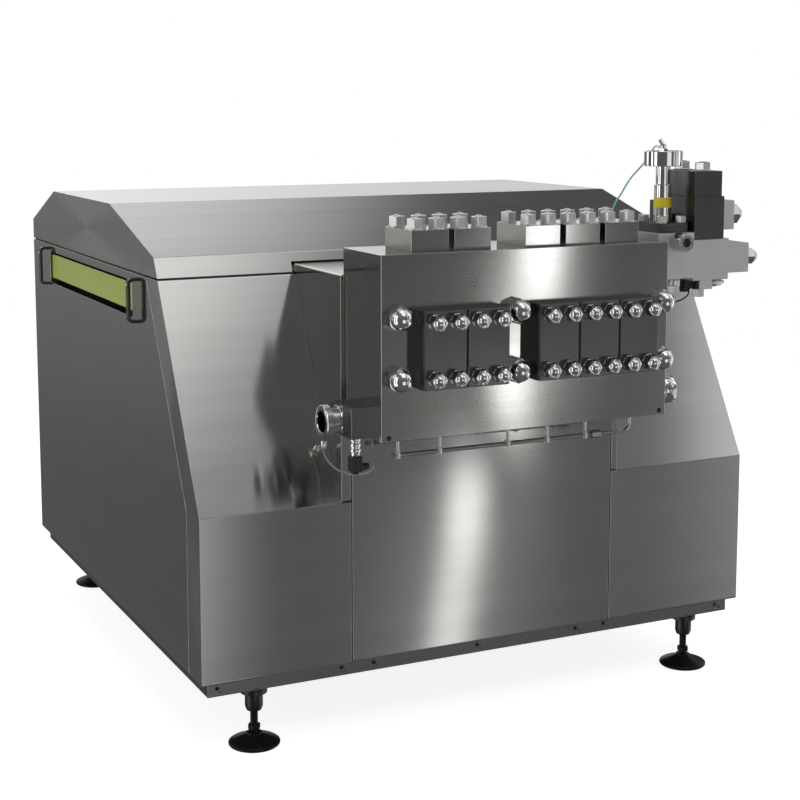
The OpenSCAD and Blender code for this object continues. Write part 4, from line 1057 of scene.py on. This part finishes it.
@dataclass
class SuctionLine(Assembly):
    """Inlet manifold, its sensor, the blind cap and the flushing rail."""

    edge: float = 1.2 * MM
    bore: float = 32.8 * MM
    small_edge: float = 0.8 * MM
    plug_edge: float = 1.5 * MM
    foot_radius: float = 45.7 * MM
    foot_height: float = 14.5 * MM
    neck_radius: float = 40.6 * MM
    thread_radius: float = 49.4 * MM
    thread_root: float = 47.7 * MM
    thread_start: float = 39.6 * MM
    thread_pitch: float = 5.4 * MM
    ridges: int = 4
    length: float = 62.6 * MM
    lip: float = 1.5 * MM
    seat_step: float = 0.1 * MM
    proud: float = 0.6 * MM

    def dress(self) -> None:
        """Gives the suction line's solids their finishes."""
        dress("suction_manifold", MANIFOLD, self.edge)
        dress("suction_sensor", TUBE, self.small_edge)
        dress("sensor_connector", PLUG_BLACK, self.plug_edge)
        dress("cable_glands", TUBE, self.small_edge)
        dress("suction_end_cap", CHROME, self.edge)
        dress("flush_rail", RAIL_SATIN)

    def build(self) -> None:
        """Turns the inlet's fitting with its round thread and open bore."""
        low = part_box("suction_manifold")[0]
        inlet_low, inlet_high = islands("suction_manifold")[0]
        middle = (inlet_low + inlet_high) / 2
        lip, foot = self.lip, self.foot_height
        profile = [(self.bore, lip), (self.foot_radius, 0.0), (self.foot_radius, foot - lip),
                   (self.foot_radius - lip, foot), (self.neck_radius, foot + self.seat_step),
                   (self.neck_radius, self.thread_start - lip)]
        for ridge in range(self.ridges):
            start = self.thread_start + ridge * self.thread_pitch
            profile += [(self.thread_root, start), (self.thread_radius, start + 0.3 * self.thread_pitch),
                        (self.thread_radius, start + 0.6 * self.thread_pitch)]
        profile += [(self.thread_root, self.length - lip), (self.thread_root - 2 * lip, self.length),
                    (self.bore + lip, self.length), (self.bore, self.length - lip)]
        mesh = bmesh.new()
        rings = [round_ring(radius, height) for radius, height in profile]
        place = at((low.x + self.length - self.proud, middle.y, middle.z), Facing.LEFT)
        turned(mesh, rings, place, 72, hollow=True)
        piece("inlet_fitting", mesh, CHROME, CABINET)


@dataclass
class HomogenizingValve(Assembly):
    """Two-stage valve with its pressure sensor."""

    edge: float = 1.8 * MM
    band_rise: float = 47 * MM
    band_height: float = 33 * MM
    plug_radius: float = 29.5 * MM
    plug_key: float = 30 * MM
    upper_nut: CapNut = CapNut(62 * MM, 60.5 * MM, 0.62, 1.1, 0.45)
    lower_nut: CapNut = CapNut(50 * MM, 58.5 * MM, 0.62, 1.1, 0.45)
    band_proud: float = 0.6 * MM
    band_lip: float = 0.3 * MM
    sensor_radius: float = 28 * MM
    plug_lip: float = 3 * MM
    plug_proud: float = 0.4 * MM
    bolt_edge: float = 1.0 * MM
    connector_edge: float = 1.5 * MM
    nut_turn: float = 30.0
    nut_proud: float = 0.5 * MM
    tip_depth: float = 2 * MM

    def dress(self) -> None:
        """Gives the valve's solids their finishes."""
        for node in ("valve_base", "stage_one_body", "stage_one_cap", "stage_two_side_cap"):
            dress(node, BLASTED, self.edge)
        for node in ("stage_two_body", "stage_two_cap", "pressure_flange"):
            dress(node, DARK_SATIN, self.edge)
        dress("valve_fasteners", NUT_SATIN, self.bolt_edge)
        dress("pressure_sensor", GAUGE_CHROME)
        dress("valve_connector", PLUG_BLACK, self.connector_edge)

    def build(self) -> None:
        """Adds the band round the sensor, the socket plug and the side nuts."""
        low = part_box("pressure_sensor")[0]
        flange_low, flange_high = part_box("pressure_flange")
        middle = (flange_low + flange_high) / 2
        radius = self.sensor_radius + self.band_proud
        lip = self.band_lip
        mesh = bmesh.new()
        bottom, top = self.band_rise, self.band_rise + self.band_height
        rings = [round_ring(radius - lip, bottom), round_ring(radius, bottom + lip),
                 round_ring(radius, top - lip), round_ring(radius - lip, top)]
        turned(mesh, rings, at((middle.x, middle.y, low.z), Facing.UP), 64)
        piece("sensor_band", mesh, BAND_YELLOW, CABINET)
        self.add_plug()
        self.add_side_nuts()

    def add_plug(self) -> None:
        """Adds the polished face of the socket plug and a black hex disk down in its socket, as painted
        shade deep in the socket.
        """
        low, high = min(islands("valve_fasteners"), key=lambda box: box[0].y)
        middle = (low + high) / 2
        length = high.y - low.y
        lip = self.plug_lip
        front = length + self.plug_proud
        place = at((middle.x, high.y, middle.z), Facing.FRONT)
        face = bmesh.new()
        turned(face, [round_ring(self.plug_radius, 0), round_ring(self.plug_radius, front - lip),
                      round_ring(self.plug_radius - lip, front), hex_ring(self.plug_key, front),
                      hex_ring(self.plug_key, 0)], place, hollow=True)
        piece("plug_face", face, PLUG_CHROME, CABINET)
        # The black hex disk near the bottom of the socket is painted shade: it stands in for the shade deep
        # inside the hex socket.
        key = bmesh.new()
        flats = self.plug_key - MM
        turned(key, [hex_ring(flats, front - 4 * lip), hex_ring(flats, front - 3 * lip)], place)
        piece("plug_key", key, PLUG_BLACK, CABINET)

    def add_side_nuts(self) -> None:
        """Adds the polished nuts on the two stages' side caps."""
        mesh = bmesh.new()
        for node, nut in (("stage_two_side_cap", self.upper_nut), ("stage_one_cap", self.lower_nut)):
            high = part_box(node)[1]
            seat = Vector((high.x - nut.length + self.nut_proud, 0, 0))
            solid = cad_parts[node].data.vertices
            tip = [vert.co for vert in solid if vert.co.x > high.x - self.tip_depth]
            seat.y = sum(co.y for co in tip) / len(tip)
            seat.z = sum(co.z for co in tip) / len(tip)
            nut.add(mesh, at(seat, Facing.RIGHT, self.nut_turn))
        piece("side_nuts", mesh, CHROME, CABINET)


@dataclass
class Drive(Assembly):
    """Crankcase, motor, pulleys and belts under the hood."""

    edge: float = 3 * MM

    def dress(self) -> None:
        """Gives the drive's solids their finishes."""
        for node in ("crankcase", "crankcase_lid", "left_cheek", "right_cheek"):
            dress(node, CASE_PAINT, self.edge)
        dress("motor", MOTOR_PAINT)
        dress("drive_pulley", IRON)
        dress("motor_pulley", IRON)
        dress("drive_belts", BELT_RUBBER)


def main() -> None:
    """Builds the studio, the leads and each sub-assembly in order."""
    logging.basicConfig(level=logging.INFO, format="%(name)s: %(message)s")
    Studio().build()
    for lead in (SUCTION_LEAD, PRESSURE_LEAD, VALVE_LEAD):
        lead.build()
    for assembly in (Cabinet(), CylinderBlock(), SuctionLine(), HomogenizingValve(), Drive()):
        assembly.dress()
        assembly.build()


if __name__ == "__main__":
    main()
